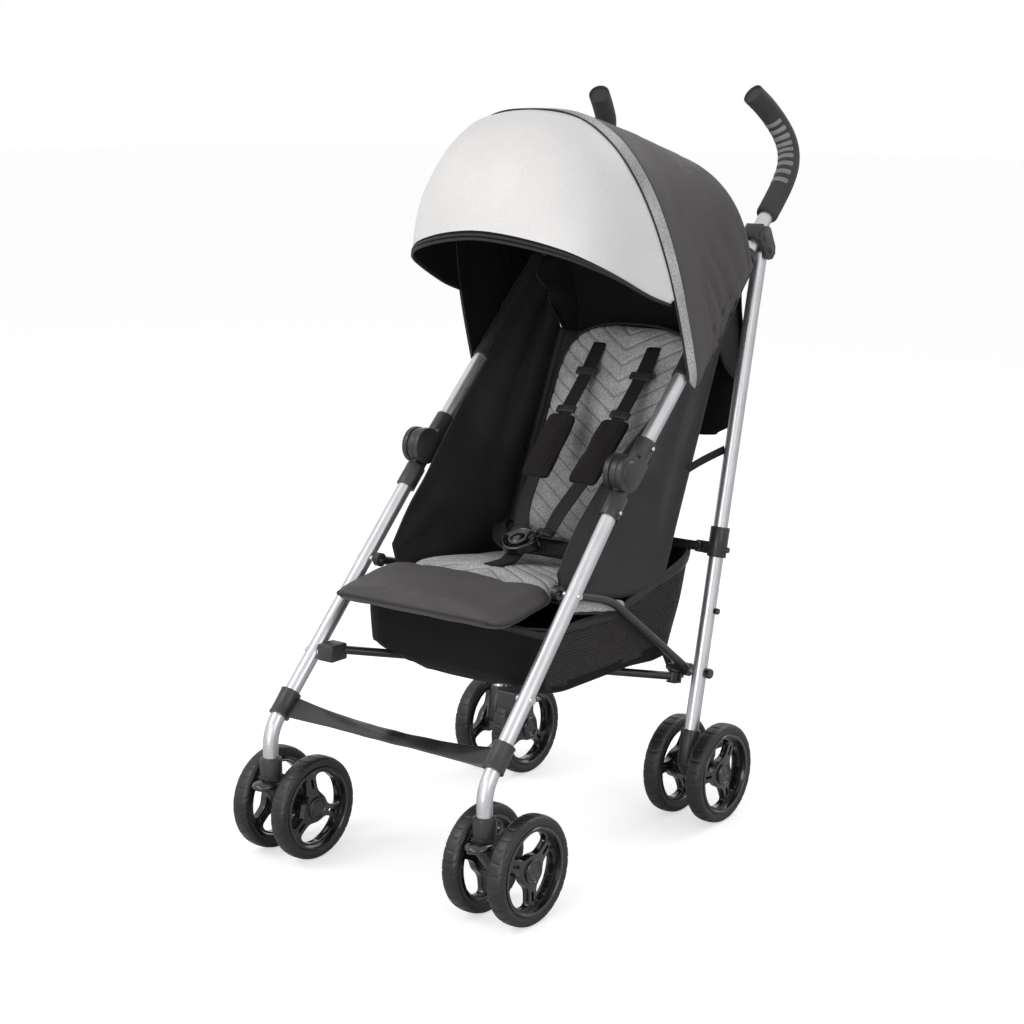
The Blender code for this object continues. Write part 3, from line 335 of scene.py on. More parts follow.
def modify(piece, kind, **settings):
    only(piece)
    made = piece.modifiers.new(kind.title(), kind)
    for name, value in settings.items():
        setattr(made, name, value)
    bpy.ops.object.modifier_apply(modifier=made.name)


def smooth(piece, degrees=40):
    only(piece)
    bpy.ops.object.shade_smooth_by_angle(angle=math.radians(degrees))


def settle(piece):  # place goes into the mesh
    only(piece)
    bpy.ops.object.transform_apply(location=True, rotation=True, scale=True)


def added(operator, name, **settings):  # a primitive with its place in its mesh
    bpy.ops.object.select_all(action="DESELECT")
    operator(**settings)
    piece = bpy.context.object
    piece.name = name
    settle(piece)
    return piece


def twin(piece, name, move=None):
    made = piece.copy()
    made.data = piece.data.copy()
    made.name = name
    scene.collection.objects.link(made)
    if move is not None:
        made.data.transform(move)
        if move.to_3x3().determinant() < 0:
            made.data.flip_normals()
    return made


def joined(pieces, name):
    bpy.ops.object.select_all(action="DESELECT")
    for piece in pieces:
        piece.select_set(True)
    bpy.context.view_layer.objects.active = pieces[0]
    bpy.ops.object.join()
    pieces[0].name = name
    pieces[0].data.name = name
    return pieces[0]


def dressed(node, look, bevel):  # the CAD shape, welded, rounded and shaded
    piece = twin(nodes[node], camel(node))
    piece.parent = None
    piece.matrix_world = Matrix.Identity(4)
    for key in [key for key in piece.keys() if key.startswith("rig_")]:
        del piece[key]
    only(piece)
    bpy.ops.object.mode_set(mode="EDIT")
    bpy.ops.mesh.select_all(action="SELECT")
    bpy.ops.mesh.remove_doubles(threshold=0.00002)
    bpy.ops.mesh.customdata_custom_splitnormals_clear()
    if bevel:
        bpy.ops.mesh.dissolve_limited(angle_limit=math.radians(1))
    bpy.ops.object.mode_set(mode="OBJECT")
    if bevel:
        modify(piece, "BEVEL", width=bevel, segments=2, limit_method="ANGLE", angle_limit=math.radians(38))
    smooth(piece)
    return wear(piece, look, bodyOf[node], [node])


def spline(points, count):  # evenly stepped smooth points through the given ones
    points = [Vector(point) for point in points]
    ends = [points[0] * 2 - points[1]] + points + [points[-1] * 2 - points[-2]]
    fine = []
    for i in range(count):
        place = i / (count - 1) * (len(points) - 1)
        k = min(int(place), len(points) - 2)
        u = place - k
        a, b, c, d = ends[k:k + 4]
        square, cube = a * 2 - b * 5 + c * 4 - d, b * 3 - a - c * 3 + d
        fine.append(0.5 * (b * 2 + (c - a) * u + square * u * u + cube * u ** 3))
    return fine


def refine(rows, across, down):
    rows = [spline(row, across) for row in rows]
    columns = [spline([row[j] for row in rows], down) for j in range(across)]
    return [[columns[j][i] for j in range(across)] for i in range(down)]


def grid(name, rows, ring=False, caps=False):  # a surface through rows of points, mapped in metres
    count = len(rows[0])
    verts = [point for row in rows for point in row]
    faces = []
    for i in range(len(rows) - 1):
        for j in range(count if ring else count - 1):
            a = i * count + j
            b = i * count + (j + 1) % count
            faces.append((a, b, b + count, a + count))
    if caps:
        faces.append(tuple(range(count))[::-1])
        faces.append(tuple(range(len(verts) - count, len(verts))))
    mesh = bpy.data.meshes.new(name)
    mesh.from_pydata(verts, [], faces)
    middle = count // 2
    downs = [0.0]
    for i in range(1, len(rows)):
        downs.append(downs[-1] + (rows[i][middle] - rows[i - 1][middle]).length)
    acrosses = []
    for row in rows:
        run = [0.0]
        for j in range(1, count + 1):
            run.append(run[-1] + (row[j % count] - row[j - 1]).length)
        acrosses.append(run)
    layer = mesh.uv_layers.new(name="UVMap")
    for face in mesh.polygons:
        held = [v % count for v in face.vertices] if len(face.vertices) == 4 else []
        for loop in face.loop_indices:
            i, j = divmod(mesh.loops[loop].vertex_index, count)
            j = count if j == 0 and ring and count - 1 in held else j
            layer.data[loop].uv = (acrosses[i][j], downs[i])
    piece = bpy.data.objects.new(name, mesh)
    scene.collection.objects.link(piece)
    for face in mesh.polygons:
        face.use_smooth = True
    return piece


def recalc(piece):
    only(piece)
    bpy.ops.object.mode_set(mode="EDIT")
    bpy.ops.mesh.select_all(action="SELECT")
    bpy.ops.mesh.remove_doubles(threshold=0.00001)
    bpy.ops.mesh.normals_make_consistent(inside=False)
    bpy.ops.object.mode_set(mode="OBJECT")


def faceOut(piece, centre):  # an open sheet's faces look away from a point inside it
    face = piece.data.polygons[len(piece.data.polygons) // 2]
    if face.normal.dot(face.center - centre) < 0:
        piece.data.flip_normals()


def flatSize(rows):  # a sheet's cut size and area, before it was sewn
    width = max(sum((row[j + 1] - row[j]).length for j in range(len(row) - 1)) for row in rows)
    columns = list(zip(*rows))
    length = max(sum((col[i + 1] - col[i]).length for i in range(len(col) - 1)) for col in columns)
    area = 0.0
    for upper, lower in zip(rows, rows[1:]):
        for j in range(len(upper) - 1):
            area += (upper[j + 1] - upper[j]).cross(lower[j] - upper[j]).length / 2
            area += (lower[j + 1] - upper[j + 1]).cross(lower[j + 1] - lower[j]).length / 2
    return (width, length), area


def ringAt(point, across, other, radius, count):
    turns = [2 * math.pi * k / count for k in range(count)]
    return [point + (across * math.cos(t) + other * math.sin(t)) * radius for t in turns]


def cordPiece(name, points, radius, count=60, facets=8):  # piping, thin bars and seams
    fine = spline(points, count)
    rings = []
    side = (fine[1] - fine[0]).orthogonal().normalized()
    for i, point in enumerate(fine):
        run = (fine[min(i + 1, count - 1)] - fine[max(i - 1, 0)]).normalized()
        side = (side - run * side.dot(run)).normalized()
        rings.append(ringAt(point, side, run.cross(side), radius, facets))
    return grid(name, rings, ring=True, caps=True)


def strap(name, stations, width, thick, count=40):  # webbing with soft edges through (point, face direction)
    points = spline([station[0] for station in stations], count)
    faces = spline([station[1] for station in stations], count)
    profile = [(-1, 0), (-0.94, 0.8), (-0.6, 1), (0, 1), (0.6, 1), (0.94, 0.8), (1, 0), (0.94, -0.8), (0.6, -1),
        (0, -1), (-0.6, -1), (-0.94, -0.8)]
    rings = []
    for i, point in enumerate(points):
        run = (points[min(i + 1, count - 1)] - points[max(i - 1, 0)]).normalized()
        face = (faces[i] - run * faces[i].dot(run)).normalized()
        side = run.cross(face)
        rings.append([point + side * (a * width / 2) + face * (b * thick / 2) for a, b in profile])
    made = grid(name, rings, ring=True, caps=True)
    recalc(made)
    return made


def lathe(name, profile, steps):  # (radius, along) pairs spun round the x axis
    bpy.ops.object.select_all(action="DESELECT")
    bpy.ops.mesh.primitive_circle_add(vertices=len(profile), radius=0.01)
    piece = bpy.context.object
    piece.name = name
    for vert, (radius, along) in zip(piece.data.vertices, profile):
        vert.co = (along, 0, radius)
    bpy.ops.object.mode_set(mode="EDIT")
    bpy.ops.mesh.select_all(action="SELECT")
    bpy.ops.mesh.spin(steps=steps, angle=2 * math.pi, center=(0, 0, 0), axis=(1, 0, 0))
    bpy.ops.mesh.select_all(action="SELECT")
    bpy.ops.mesh.remove_doubles(threshold=0.00002)
    bpy.ops.mesh.normals_make_consistent(inside=False)
    bpy.ops.object.mode_set(mode="OBJECT")
    return piece


def turned(name, profile, steps, place, way, degrees=35):  # lathed, then set at a place and aimed
    piece = lathe(name, profile, steps)
    aim = Vector((1, 0, 0)).rotation_difference(way).to_matrix().to_4x4()
    piece.data.transform(Matrix.Translation(place) @ aim)
    smooth(piece, degrees)
    return piece


def ripple(point, scale, seed=0.0):
    return noise.noise(Vector(point) * scale + Vector((seed, seed * 0.7, 0)))


def plump(piece, facing, cap, voxel=0.005, pressure=4.0):  # blown up a little by a cloth simulation
    only(piece)
    piece.data.remesh_voxel_size = voxel
    bpy.ops.object.voxel_remesh()
    start = [vert.co.copy() for vert in piece.data.vertices]
    normals = [vert.normal.copy() for vert in piece.data.vertices]
    cloth = piece.modifiers.new("Cloth", "CLOTH")
    cloth.settings.use_pressure = True
    cloth.settings.uniform_pressure_force = pressure
    cloth.settings.effector_weights.gravity = 0
    for step in range(1, 21):
        scene.frame_set(step)
    puffed = piece.evaluated_get(bpy.context.evaluated_depsgraph_get())
    moved = [vert.co.copy() for vert in puffed.data.vertices]
    piece.modifiers.remove(cloth)
    scene.frame_set(1)
    for vert, before, after, normal in zip(piece.data.vertices, start, moved, normals):
        step = after - before
        if step.length > cap:
            step *= cap / step.length
        share = max(0.0, min(1.0, normal.dot(facing) + 0.35))
        vert.co = before + step * share
    modify(piece, "SMOOTH", factor=0.5, iterations=2)


def quilt(piece, facing, origin, along, made):  # sewn chevrons pressed into the facing side
    spacing = made["quilt"]
    for vert in piece.data.vertices:
        if vert.normal.dot(facing) < 0.3:
            continue
        place = (vert.co - origin).dot(along) - abs(vert.co.x) * made["slope"]
        off = abs((place / spacing) % 1 - 0.5) * spacing
        near = math.exp(-((spacing / 2 - off) / 0.0026) ** 2)
        centre = math.exp(-(vert.co.x / 0.003) ** 2)
        vert.co -= facing * made["depth"] * max(near, centre * 0.5)


print("tools ready")

# rigid CAD pieces, welded and finished

rigidSet = [
    # node without its side, look, bevel
    ("front_leg_", "silver", 0.0), ("upper_tube_", "silver", 0.0), ("rear_leg_", "silver", 0.0),
    ("knuckle_lower_", "plastic", 0.0007), ("knuckle_upper_", "plastic", 0.0007), ("top_bracket_", "plastic", 0.0009),
    ("leg_collar_", "plastic", 0.0006), ("rear_housing_", "plastic", 0.0009), ("brake_lever_", "plastic", 0.0008),
    ("caster_fork_", "plastic", 0.0010), ("side_link_", "steel", 0.0), ("brace_bar_", "steel", 0.0),
    ("brace_fork_", "plastic", 0.0006), ("cross_bar_", "steel", 0.0006), ("rear_strut_", "steel", 0.0),
]
for t in "rl":
    for stem, look, bevel in rigidSet:
        dressed(stem + t, look, bevel)
dressed("lock_pedal", "plastic", 0.0008)
print("frame pieces dressed")

# sling: seat base with a side wing up to each tube

slingSet = {
    "base": [(-0.300, 0.385), (-0.240, 0.376), (-0.180, 0.368), (-0.120, 0.360), (-0.075, 0.360), (-0.0485, 0.372)],
    "edge": [(-0.312, 0.430, 0.1500), (-0.275, 0.480, 0.1500), (-0.235, 0.520, 0.1510), (-0.195, 0.560, 0.1560)],
    "backFoot": (-0.045, 0.380), "backLean": 23.5, "backLength": 0.372, "half": 0.144, "sewn": 0.1700,
    "fold": 0.0045, "thick": 0.0022, "across": 121, "down": 90, "panelRow": 48, "panelSpan": (43, 77),
}
backUp = lean(slingSet["backLean"])
backFace = Vector((0, -backUp.z, backUp.y))
backFoot = at(0, *slingSet["backFoot"])


def tubeHeight(y):
    return upperPoint[1] + (y - upperPoint[0]) * upperLean.z / upperLean.y


def slingRows():
    edge = slingSet["edge"] + [(-0.150, 0.598, 0.1640), (-0.115, tubeHeight(-0.115), slingSet["sewn"])]
    base = list(slingSet["base"])
    for i in range(1, 6):
        point = backFoot + backUp * (slingSet["backLength"] * i / 5 * 0.96)
        base.append((point.y - rearAxleY, point.z))
        y = -0.115 + 0.175 * i / 5
        edge.append((y, tubeHeight(y), slingSet["sewn"]))
    rows = []
    for (y, z), (ey, ez, ex) in zip(base, edge):
        row = []
        for side in (-1, 1):
            wing = []
            for share in (1.0, 0.8, 0.6, 0.4, 0.2):
                x = slingSet["half"] + (ex - slingSet["half"]) * share + 0.002 * math.sin(math.pi * share)
                wing.append(at(side * x, y + (ey - y) * share, z + (ez - z) * share))
            flat = [at(slingSet["half"] * share, y, z) for share in (-1, -0.5, 0, 0.5, 1)]
            row += wing + flat if side < 0 else wing[::-1]
        rows.append(row)
    return rows


rows = refine(slingRows(), slingSet["across"], slingSet["down"])
middle = slingSet["across"] // 2
for i, row in enumerate(rows):
    down = i / (slingSet["down"] - 1)
    for j, point in enumerate(row):
        across = abs(j - middle) / middle
        if across > 0.42:
            share = (across - 0.42) / 0.58
            hold = math.sin(math.pi * min(1.0, share * 1.02)) * min(1.0, down * 6)
            ridge = 0.5 + 0.5 * math.cos(share * 9.5 + 0.8 * math.sin(down * 5))
            inwards = slingSet["fold"] * (ridge * 1.5 + ripple(point, 16, 3.0) * 0.9) * hold
            point.x -= math.copysign(max(0.0, inwards), point.x)
        else:
            point.z += ripple(point, 30, 1.0) * 0.0006
slingFlat, slingArea = flatSize(rows)
slingTop = rows[-1]
sling = grid("seatSling", rows)
only(sling)
bpy.ops.object.mode_set(mode="EDIT")  # the back of the sling is a panel of its own, which reclines
bpy.ops.mesh.select_all(action="DESELECT")
bpy.ops.object.mode_set(mode="OBJECT")
panelStart, panelEnd = slingSet["panelSpan"]
for face in sling.data.polygons:
    row, column = divmod(face.index, slingSet["across"] - 1)
    face.select = row >= slingSet["panelRow"] and panelStart <= column < panelEnd
bpy.ops.object.mode_set(mode="EDIT")
bpy.ops.mesh.delete(type="FACE")
bpy.ops.object.mode_set(mode="OBJECT")
panelRows = [row[panelStart:panelEnd + 1] for row in rows[slingSet["panelRow"]:]]
panelFlat, panelArea = flatSize(panelRows)
panel = grid("backPanel", panelRows)
modify(panel, "SOLIDIFY", thickness=slingSet["thick"], offset=0.0)
wear(panel, "black", "back_unit")
slingArea -= panelArea
modify(sling, "SOLIDIFY", thickness=slingSet["thick"], offset=0.0)
wear(sling, "black", "seat_unit", ["seat_shell"])
print("sling made")

# pads: seat cushion, backrest and leg flap


def padRows(stations, normal, thick, crown, count=56, down=44):
    profile = [(-1.0, 0.30), (-0.985, 0.66), (-0.92, 0.92), (-0.6, 1.0), (-0.2, 1.0 + crown), (0.2, 1.0 + crown)]
    profile += [(0.6, 1.0), (0.92, 0.92), (0.985, 0.66), (1.0, 0.30), (0.95, 0.03), (0.4, 0.0), (-0.4, 0.0),
        (-0.95, 0.03)]
    rows = []
    for centre, half, share in stations:
        ring = [centre + Vector((half * a, 0, 0)) + normal * (thick * share * b) for a, b in profile]
        rows.append(spline(ring + ring[:1], count + 1)[:-1])
    columns = [spline([row[j] for row in rows], down) for j in range(count)]
    return [[columns[j][i] for j in range(count)] for i in range(down)]


def pad(name, stations, facing, made):
    piece = grid(name, padRows(stations, facing, made["thick"], made["crown"]), ring=True, caps=True)
    recalc(piece)
    plump(piece, facing, made["cap"])
    modify(piece, "SUBSURF", levels=1, render_levels=1)
    return piece


def seatZ(y):
    base = slingSet["base"]
    for (y0, z0), (y1, z1) in zip(base, base[1:]):
        if y <= y1:
            return z0 + (z1 - z0) * (y - y0) / (y1 - y0)
    return base[-1][1]


padLift = 0.0018  # of a pad's underside over the sling's middle
cushionSet = {"thick": 0.0235, "crown": 0.08, "cap": 0.005, "quilt": 0.024, "slope": 0.55, "depth": 0.0022}
cushionLine = [
    # y, half width, share of the thickness
    (-0.303, 0.127, 0.35), (-0.297, 0.131, 0.8), (-0.25, 0.1335, 1), (-0.17, 0.1335, 1),
    (-0.115, 0.133, 1), (-0.088, 0.130, 0.85), (-0.0795, 0.126, 0.4),
]
up = Vector((0, 0.05, 1)).normalized()
stations = [(at(0, y, seatZ(y) + padLift), half, share) for y, half, share in cushionLine]
cushion = pad("seatCushion", stations, up, cushionSet)
quilt(cushion, up, at(0, -0.3, 0.39), Vector((0, -1, 0)), cushionSet)
# the seat's heather gets painted shade along its quilted creases
seamShade = (-rearAxleY + 0.3, -1, 0, cushionSet["quilt"], cushionSet["slope"])
looks["seatHeather"] = clothLook("seatHeather", *heatherSet, seamShade=seamShade)
wear(cushion, "seatHeather", "seat_unit", ["seat_cushion"])

backSet = {"thick": 0.0185, "crown": 0.08, "cap": 0.005, "quilt": 0.025, "slope": 0.62, "depth": 0.0024}
backLine = [
    # distance up the back, half width, share of the thickness
    (0.020, 0.124, 0.5), (0.030, 0.130, 0.95), (0.1, 0.131, 1), (0.2, 0.130, 1), (0.28, 0.127, 1),
    (0.325, 0.118, 1), (0.350, 0.100, 0.95), (0.363, 0.074, 0.8), (0.3695, 0.045, 0.42),
]
stations = [(backFoot + backUp * t + backFace * padLift, half, share) for t, half, share in backLine]
backrest = pad("backrestPad", stations, backFace, backSet)
quilt(backrest, backFace, backFoot, backUp, backSet)
line = [(t, half) for t, half, share in backLine[2:]] + [(0.3712, 0.015)]
piped = []
for side, half in ((1, line), (-1, line[::-1])):
    for t, wide in half:
        piped.append(backFoot + backUp * t + backFace * 0.0105 + Vector((side * (wide + 0.0008), 0, 0)))
wear(cordPiece("backPiping", piped, 0.0020, 240), "black", "back_unit")
# the backrest's heather gets painted shade along its quilted creases
seamShade = (backFoot.dot(backUp), backUp.y, backUp.z, backSet["quilt"], backSet["slope"])
looks["backHeather"] = clothLook("backHeather", *heatherSet, seamShade=seamShade)
wear(backrest, "backHeather", "back_unit", ["backrest"])

flapSet = {"thick": 0.0200, "crown": 0.10, "cap": 0.006}
flapUp = Vector((0, -0.05, 1)).normalized()
flapLine = [
    # y, share of the thickness, half width, underside z
    (-0.4470, 0.35, 0.112, 0.3835), (-0.4455, 0.62, 0.125, 0.3800), (-0.4420, 0.85, 0.1355, 0.3770),
    (-0.4350, 0.97, 0.1445, 0.3757), (-0.4240, 1.0, 0.1500, 0.3755), (-0.4050, 1.0, 0.1520, 0.377),
    (-0.38, 1.0, 0.152, 0.38), (-0.34, 1.0, 0.150, 0.386), (-0.318, 0.95, 0.144, 0.389), (-0.3050, 0.6, 0.133, 0.390),
]
flap = pad("legFlapPad", [(at(0, y, z), half, share) for y, share, half, z in flapLine], flapUp, flapSet)
for vert in flap.data.vertices:
    vert.co.z += ripple(vert.co, 22, 5.0) * 0.0016
piped = []
for side, line in ((1, flapLine[8::-1]), (-1, flapLine[:9])):
    for y, share, half, z in line:
        piped.append(at(side * (half + 0.0006), y, z) + flapUp * (flapSet["thick"] * share * 0.33))
wear(cordPiece("flapPiping", piped, 0.0015, 220), "black", "seat_unit")
wear(flap, "charcoal", "seat_unit", ["leg_flap"])
print("pads made")

edgeSet = {"front": -0.292, "length": 0.140, "drop": 0.026, "steps": 48, "wide": 0.0058, "tall": 0.0088}
for side, tag in sides:
    rings = []
    for k in range(edgeSet["steps"] + 1):
        share = k / edgeSet["steps"]
        y = edgeSet["front"] + edgeSet["length"] * share
        swell = min(1.0, 6 * math.sqrt(share * (1 - share)) + 0.08) * (0.86 + 0.14 * abs(math.sin(share * 13)))
        middle = at(side * 0.1490, y, 0.3790 - edgeSet["drop"] * share)
        ring = []
        for turn in [2 * math.pi * n / 20 for n in range(20)]:
            x, z = math.cos(turn) * edgeSet["wide"] * swell, math.sin(turn) * edgeSet["tall"] * swell
            ring.append(middle + Vector((x, 0, z)))
        rings.append(ring)
    edging = grid("seatEdge" + tag, rings, ring=True, caps=True)
    recalc(edging)
    modify(edging, "SUBSURF", levels=1, render_levels=1)
    wear(edging, "heather", "seat_unit")
    binding = []
    for n in range(9):
        binding.append(at(side * 0.1505, edgeSet["front"] + edgeSet["length"] * n / 8,
            0.3695 - edgeSet["drop"] * n / 8))
    wear(cordPiece("seatBinding" + tag, binding, 0.0022, 60), "black", "seat_unit")

# hood: one continuous cover over the bows, with its band, piping and visor

hoodSet = {
    "half": 0.1985, "power": 2.8, "thick": 0.0018, "sag": 0.004, "bandWidth": 0.032, "corner": 0.019,
    "rows": [
        # apex y and z, end y and z, share of the half width
        (-0.175, 1.050, -0.062, 0.655, 1.0), (-0.135, 1.050, -0.040, 0.662, 1.005),
        (-0.085, 1.040, -0.020, 0.684, 1.0),
        (-0.040, 1.029, 0.000, 0.703, 0.998), (0.000, 1.013, 0.035, 0.745, 0.998), (0.040, 0.994, 0.098, 0.818, 1.0),
        (0.070, 0.976, 0.106, 0.810, 0.927), (0.100, 0.940, 0.118, 0.798, 0.836), (0.126, 0.890, 0.133, 0.775, 0.811),
        (0.138, 0.800, 0.141, 0.735, 0.800), (0.143, 0.710, 0.145, 0.680, 0.802), (0.147, 0.632, 0.148, 0.620, 0.800),
        (0.149, 0.575, 0.149, 0.585, 0.740), (0.149, 0.556, 0.149, 0.560, 0.560),
    ],
}


def archRow(apexY, apexZ, endY, endZ, share, count=81):
    row = []
    for k in range(count):
        turn = math.pi * k / (count - 1)
        reach = math.copysign(abs(math.cos(turn)) ** (2 / hoodSet["power"]), math.cos(turn))
        height = max(0.0, math.sin(turn)) ** (2 / hoodSet["power"])
        x = hoodSet["half"] * share * reach
        row.append(at(x, endY + (apexY - endY) * height, endZ + (apexZ - endZ) * height))
    return row


def smoothControls(controls, count):
    firsts = spline([Vector(c[0:3]) for c in controls], count)
    lasts = spline([Vector((c[3], c[4], 0)) for c in controls], count)
    return [(*first, last.x, last.y) for first, last in zip(firsts, lasts)]


controls = smoothControls(hoodSet["rows"], 118)
rows = [archRow(*control) for control in controls]
centre = at(0, -0.02, 0.80)
for i, row in enumerate(rows):
    place = i / 9
    for j, point in enumerate(row):
        side = abs(j - 40) / 40
        out = (point - centre).normalized()
        if place < 5:
            sag = math.sin(math.pi * place / 5) ** 2 * (1 - side ** 3) * hoodSet["sag"]
            crease = ripple((point.x * 0.6, point.y * 2.2, point.z), 11, 8.0) * 0.0022 * min(1.0, place)
            point -= out * (sag + max(0.0, crease))
            if side > 0.7 and place > 2:
                gather = math.sin((point.y + point.z * 0.6) * 190 + ripple(point, 12, 2.0) * 4) * 0.0034
                point.x -= math.copysign(max(0.0, gather) * (side - 0.7) / 0.3 * min(1.0, (place - 2) / 1.2), point.x)
        elif place > 7:
            loose = min(1.0, (place - 7) / 3)
            wave = math.sin(point.x * 62 + 2.2 * math.sin(point.z * 17)) * 0.0045 + ripple(point, 14, 4.0) * 0.004
            point.y += wave * loose


def trimmed(row, cut):  # the same row with both its ends cut back
    run = [0.0]
    for a, b in zip(row, row[1:]):
        run.append(run[-1] + (b - a).length)
    made = []
    for n in range(len(row)):
        want = cut + (run[-1] - 2 * cut) * n / (len(row) - 1)
        k = max(m for m in range(len(row) - 1) if run[m] <= want)
        made.append(row[k].lerp(row[k + 1], min(1.0, (want - run[k]) / (run[k + 1] - run[k]))))
    return made


firsts = [row[0].copy() for row in rows]
along = 0.0
for i in range(40):
    if along < hoodSet["corner"]:
        rounding = math.sqrt(hoodSet["corner"] ** 2 - (hoodSet["corner"] - along) ** 2)
        rows[i] = trimmed(rows[i], hoodSet["corner"] - rounding)
    along += (firsts[i + 1] - firsts[i]).length
hoodFlat, hoodArea = flatSize(rows)
cover = grid("hoodCover", rows)
faceOut(cover, centre)
wear(cover, "charcoal", "hood_unit", ["canopy"])
cover.data.materials.append(looks["lining"].material)
modify(cover, "SOLIDIFY", thickness=hoodSet["thick"], offset=-1.0, material_offset=1)
print("hood cover made")

hoodNormals = []  # outward direction at the front few rows
for i in range(30):
    line = []
    for j in range(81):
        down = rows[i + 1][j] - rows[i][j]
        over = rows[i][min(j + 1, 80)] - rows[i][max(j - 1, 0)]
        out = down.cross(over).normalized()
        line.append(out if out.dot(rows[i][j] - centre) > 0 else -out)
    hoodNormals.append(line)

bandRows = [[] for k in range(7)]
edgeRun = [0.0]
for j in range(80):
    edgeRun.append(edgeRun[-1] + (rows[0][j + 1] - rows[0][j]).length)
for j in range(81):
    run = [0.0]
    for i in range(29):
        run.append(run[-1] + (rows[i + 1][j] - rows[i][j]).length)
    half = hoodSet["bandWidth"] / 2 + 0.0035 * (abs(j - 40) / 40) ** 5
    end = min(edgeRun[j], edgeRun[-1] - edgeRun[j])
    shrink = math.sqrt(max(0.01, 1 - max(0.0, 1 - end / half) ** 2))
    for k in range(7):
        want = half + (k / 3 - 1) * half * (shrink if k > 3 else 1.0) * 0.98
        i = max(n for n in range(29) if run[n] <= want)
        share = (want - run[i]) / (run[i + 1] - run[i])
        spot = rows[i][j].lerp(rows[i + 1][j], min(1.0, share))
        bandRows[k].append(spot + hoodNormals[i][j] * (0.0013 - 0.0006 * (k / 3 - 1) ** 2))
bandFlat, bandArea = flatSize(bandRows)
band = grid("hoodBand", bandRows)
modify(band, "SOLIDIFY", thickness=0.0014, offset=0.0)
modify(band, "SUBSURF", levels=1, render_levels=1)
wear(band, "heather", "hood_unit")

frontEdge = [rows[0][j] + hoodNormals[0][j] * 0.0006 for j in range(0, 81, 2)]
wear(cordPiece("hoodFrontPiping", frontEdge, 0.0014, 160), "black", "hood_unit")
for number, radius in enumerate((0.0013, 0.0008)):
    ridge = [point + (point - centre).normalized() * 0.0004 for point in rows[50 + number * 5][::2]]
    wear(cordPiece("hoodSeam" + str(number), ridge, radius, 160), "charcoal", "hood_unit")
for side, tag in sides:
    hem = [rows[i][0 if side > 0 else -1] for i in range(2, 46, 3)]
    wear(cordPiece("hoodHem" + tag, hem, 0.0013, 60), "black", "hood_unit")
wear(cordPiece("curtainHem", rows[-1][::2], 0.0014, 120), "black", "hood_unit")

visorSet = {
    "rim": [(0.952, -0.104, 0.782), (0.927, -0.150, 0.797), (0.882, -0.210, 0.824), (0.796, -0.252, 0.843),
        (0.630, -0.277, 0.858), (0.3275, -0.294, 0.871), (0.0, -0.300, 0.877)],
    "heights": [0.34, 0.46, 0.62, 0.77, 0.89, 0.975, 1.0],
    "thick": 0.0014, "crease": 0.0026,
}
visorRows = []
for step in range(7):
    turn = math.radians(90) * step / 6
    row = []
    for side in (1, -1):
        half = []
        for (rx, ry, rz), height in zip(visorSet["rim"], visorSet["heights"]):
            bx = hoodSet["half"] * max(0.0, 1 - height ** hoodSet["power"]) ** (1 / hoodSet["power"])
            by = -0.062 - 0.113 * height - 0.0009
            bz = 0.655 + 0.395 * height
            rx = rx * hoodSet["half"]
            x, z = rx + (bx - rx) * math.cos(turn), rz + (bz - rz) * math.cos(turn)
            half.append(at(side * x, by + (ry - by) * math.sin(turn), z))
        row += half if side > 0 else half[::-1][1:]
    visorRows.append(row)
visorRows = refine(visorRows, 97, 49)
for i, row in enumerate(visorRows):
    for j, point in enumerate(row):
        out = (point - at(0, -0.10, 0.85)).normalized()
        hang = math.sin(math.pi * i / 48)
        crease = ripple((point.x * 1.6, point.y, point.z * 0.5), 13, 6.0) + 0.4 * ripple(point, 34, 9.0)
        point -= out * (visorSet["crease"] * (crease + 0.35) * hang)
visorFlat, visorArea = flatSize(visorRows)
visor = grid("hoodVisor", visorRows)
faceOut(visor, centre)
visor.data.materials.append(looks["visor"].material)
visor.data.materials.append(looks["lining"].material)
visor.data.materials.append(looks["lining"].material)
for face in visor.data.polygons:
    face.material_index = 1 if face.index // 96 > 45 else 0
modify(visor, "SOLIDIFY", thickness=visorSet["thick"], offset=-1.0, material_offset=1, material_offset_rim=1)
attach(visor, "visor_unit")
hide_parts("canopy_visor")
inwards = (at(0, -0.10, 0.86) - visorRows[48][48]).normalized()
for number, back in enumerate((48, 47)):
    rim = [visorRows[back][j] + inwards * 0.0004 for j in range(0, 97, 2)]
    wear(cordPiece("visorPiping" + str(number), rim, 0.0021, 160, 10), "black", "visor_unit")
print("visor made")

# gussets that close the gap between the sling and the curtain

curtainLine = [
    (0.158, 0.128, 0.838), (0.154, 0.135, 0.80), (0.152, 0.137, 0.775), (0.150, 0.141, 0.735),
    (0.150, 0.143, 0.69), (0.149, 0.144, 0.640),
]
for side, tag in sides:
    near = [at(side * 0.1745, 0.082, 0.822)]
    for place in (60, 50, 40, 29, 17):  # columns of the sling's top edge, from the tube inwards
        near.append(slingTop[slingSet["across"] // 2 + side * place] - Vector((0, 0.004, 0)))
    far = [at(side * x, y, z) for x, y, z in curtainLine]
    half = [a.lerp(b, 0.5) + Vector((-side * 0.004, 0, -0.006)) for a, b in zip(near, far)]
    gussetRows = refine([near, half, far], 15, 15)
    gussetFlat, gussetArea = flatSize(gussetRows)
    gusset = grid("backGusset" + tag, gussetRows)
    modify(gusset, "SOLIDIFY", thickness=0.0016, offset=0.0)
    wear(gusset, "black", "seat_unit")

# harness and buckle


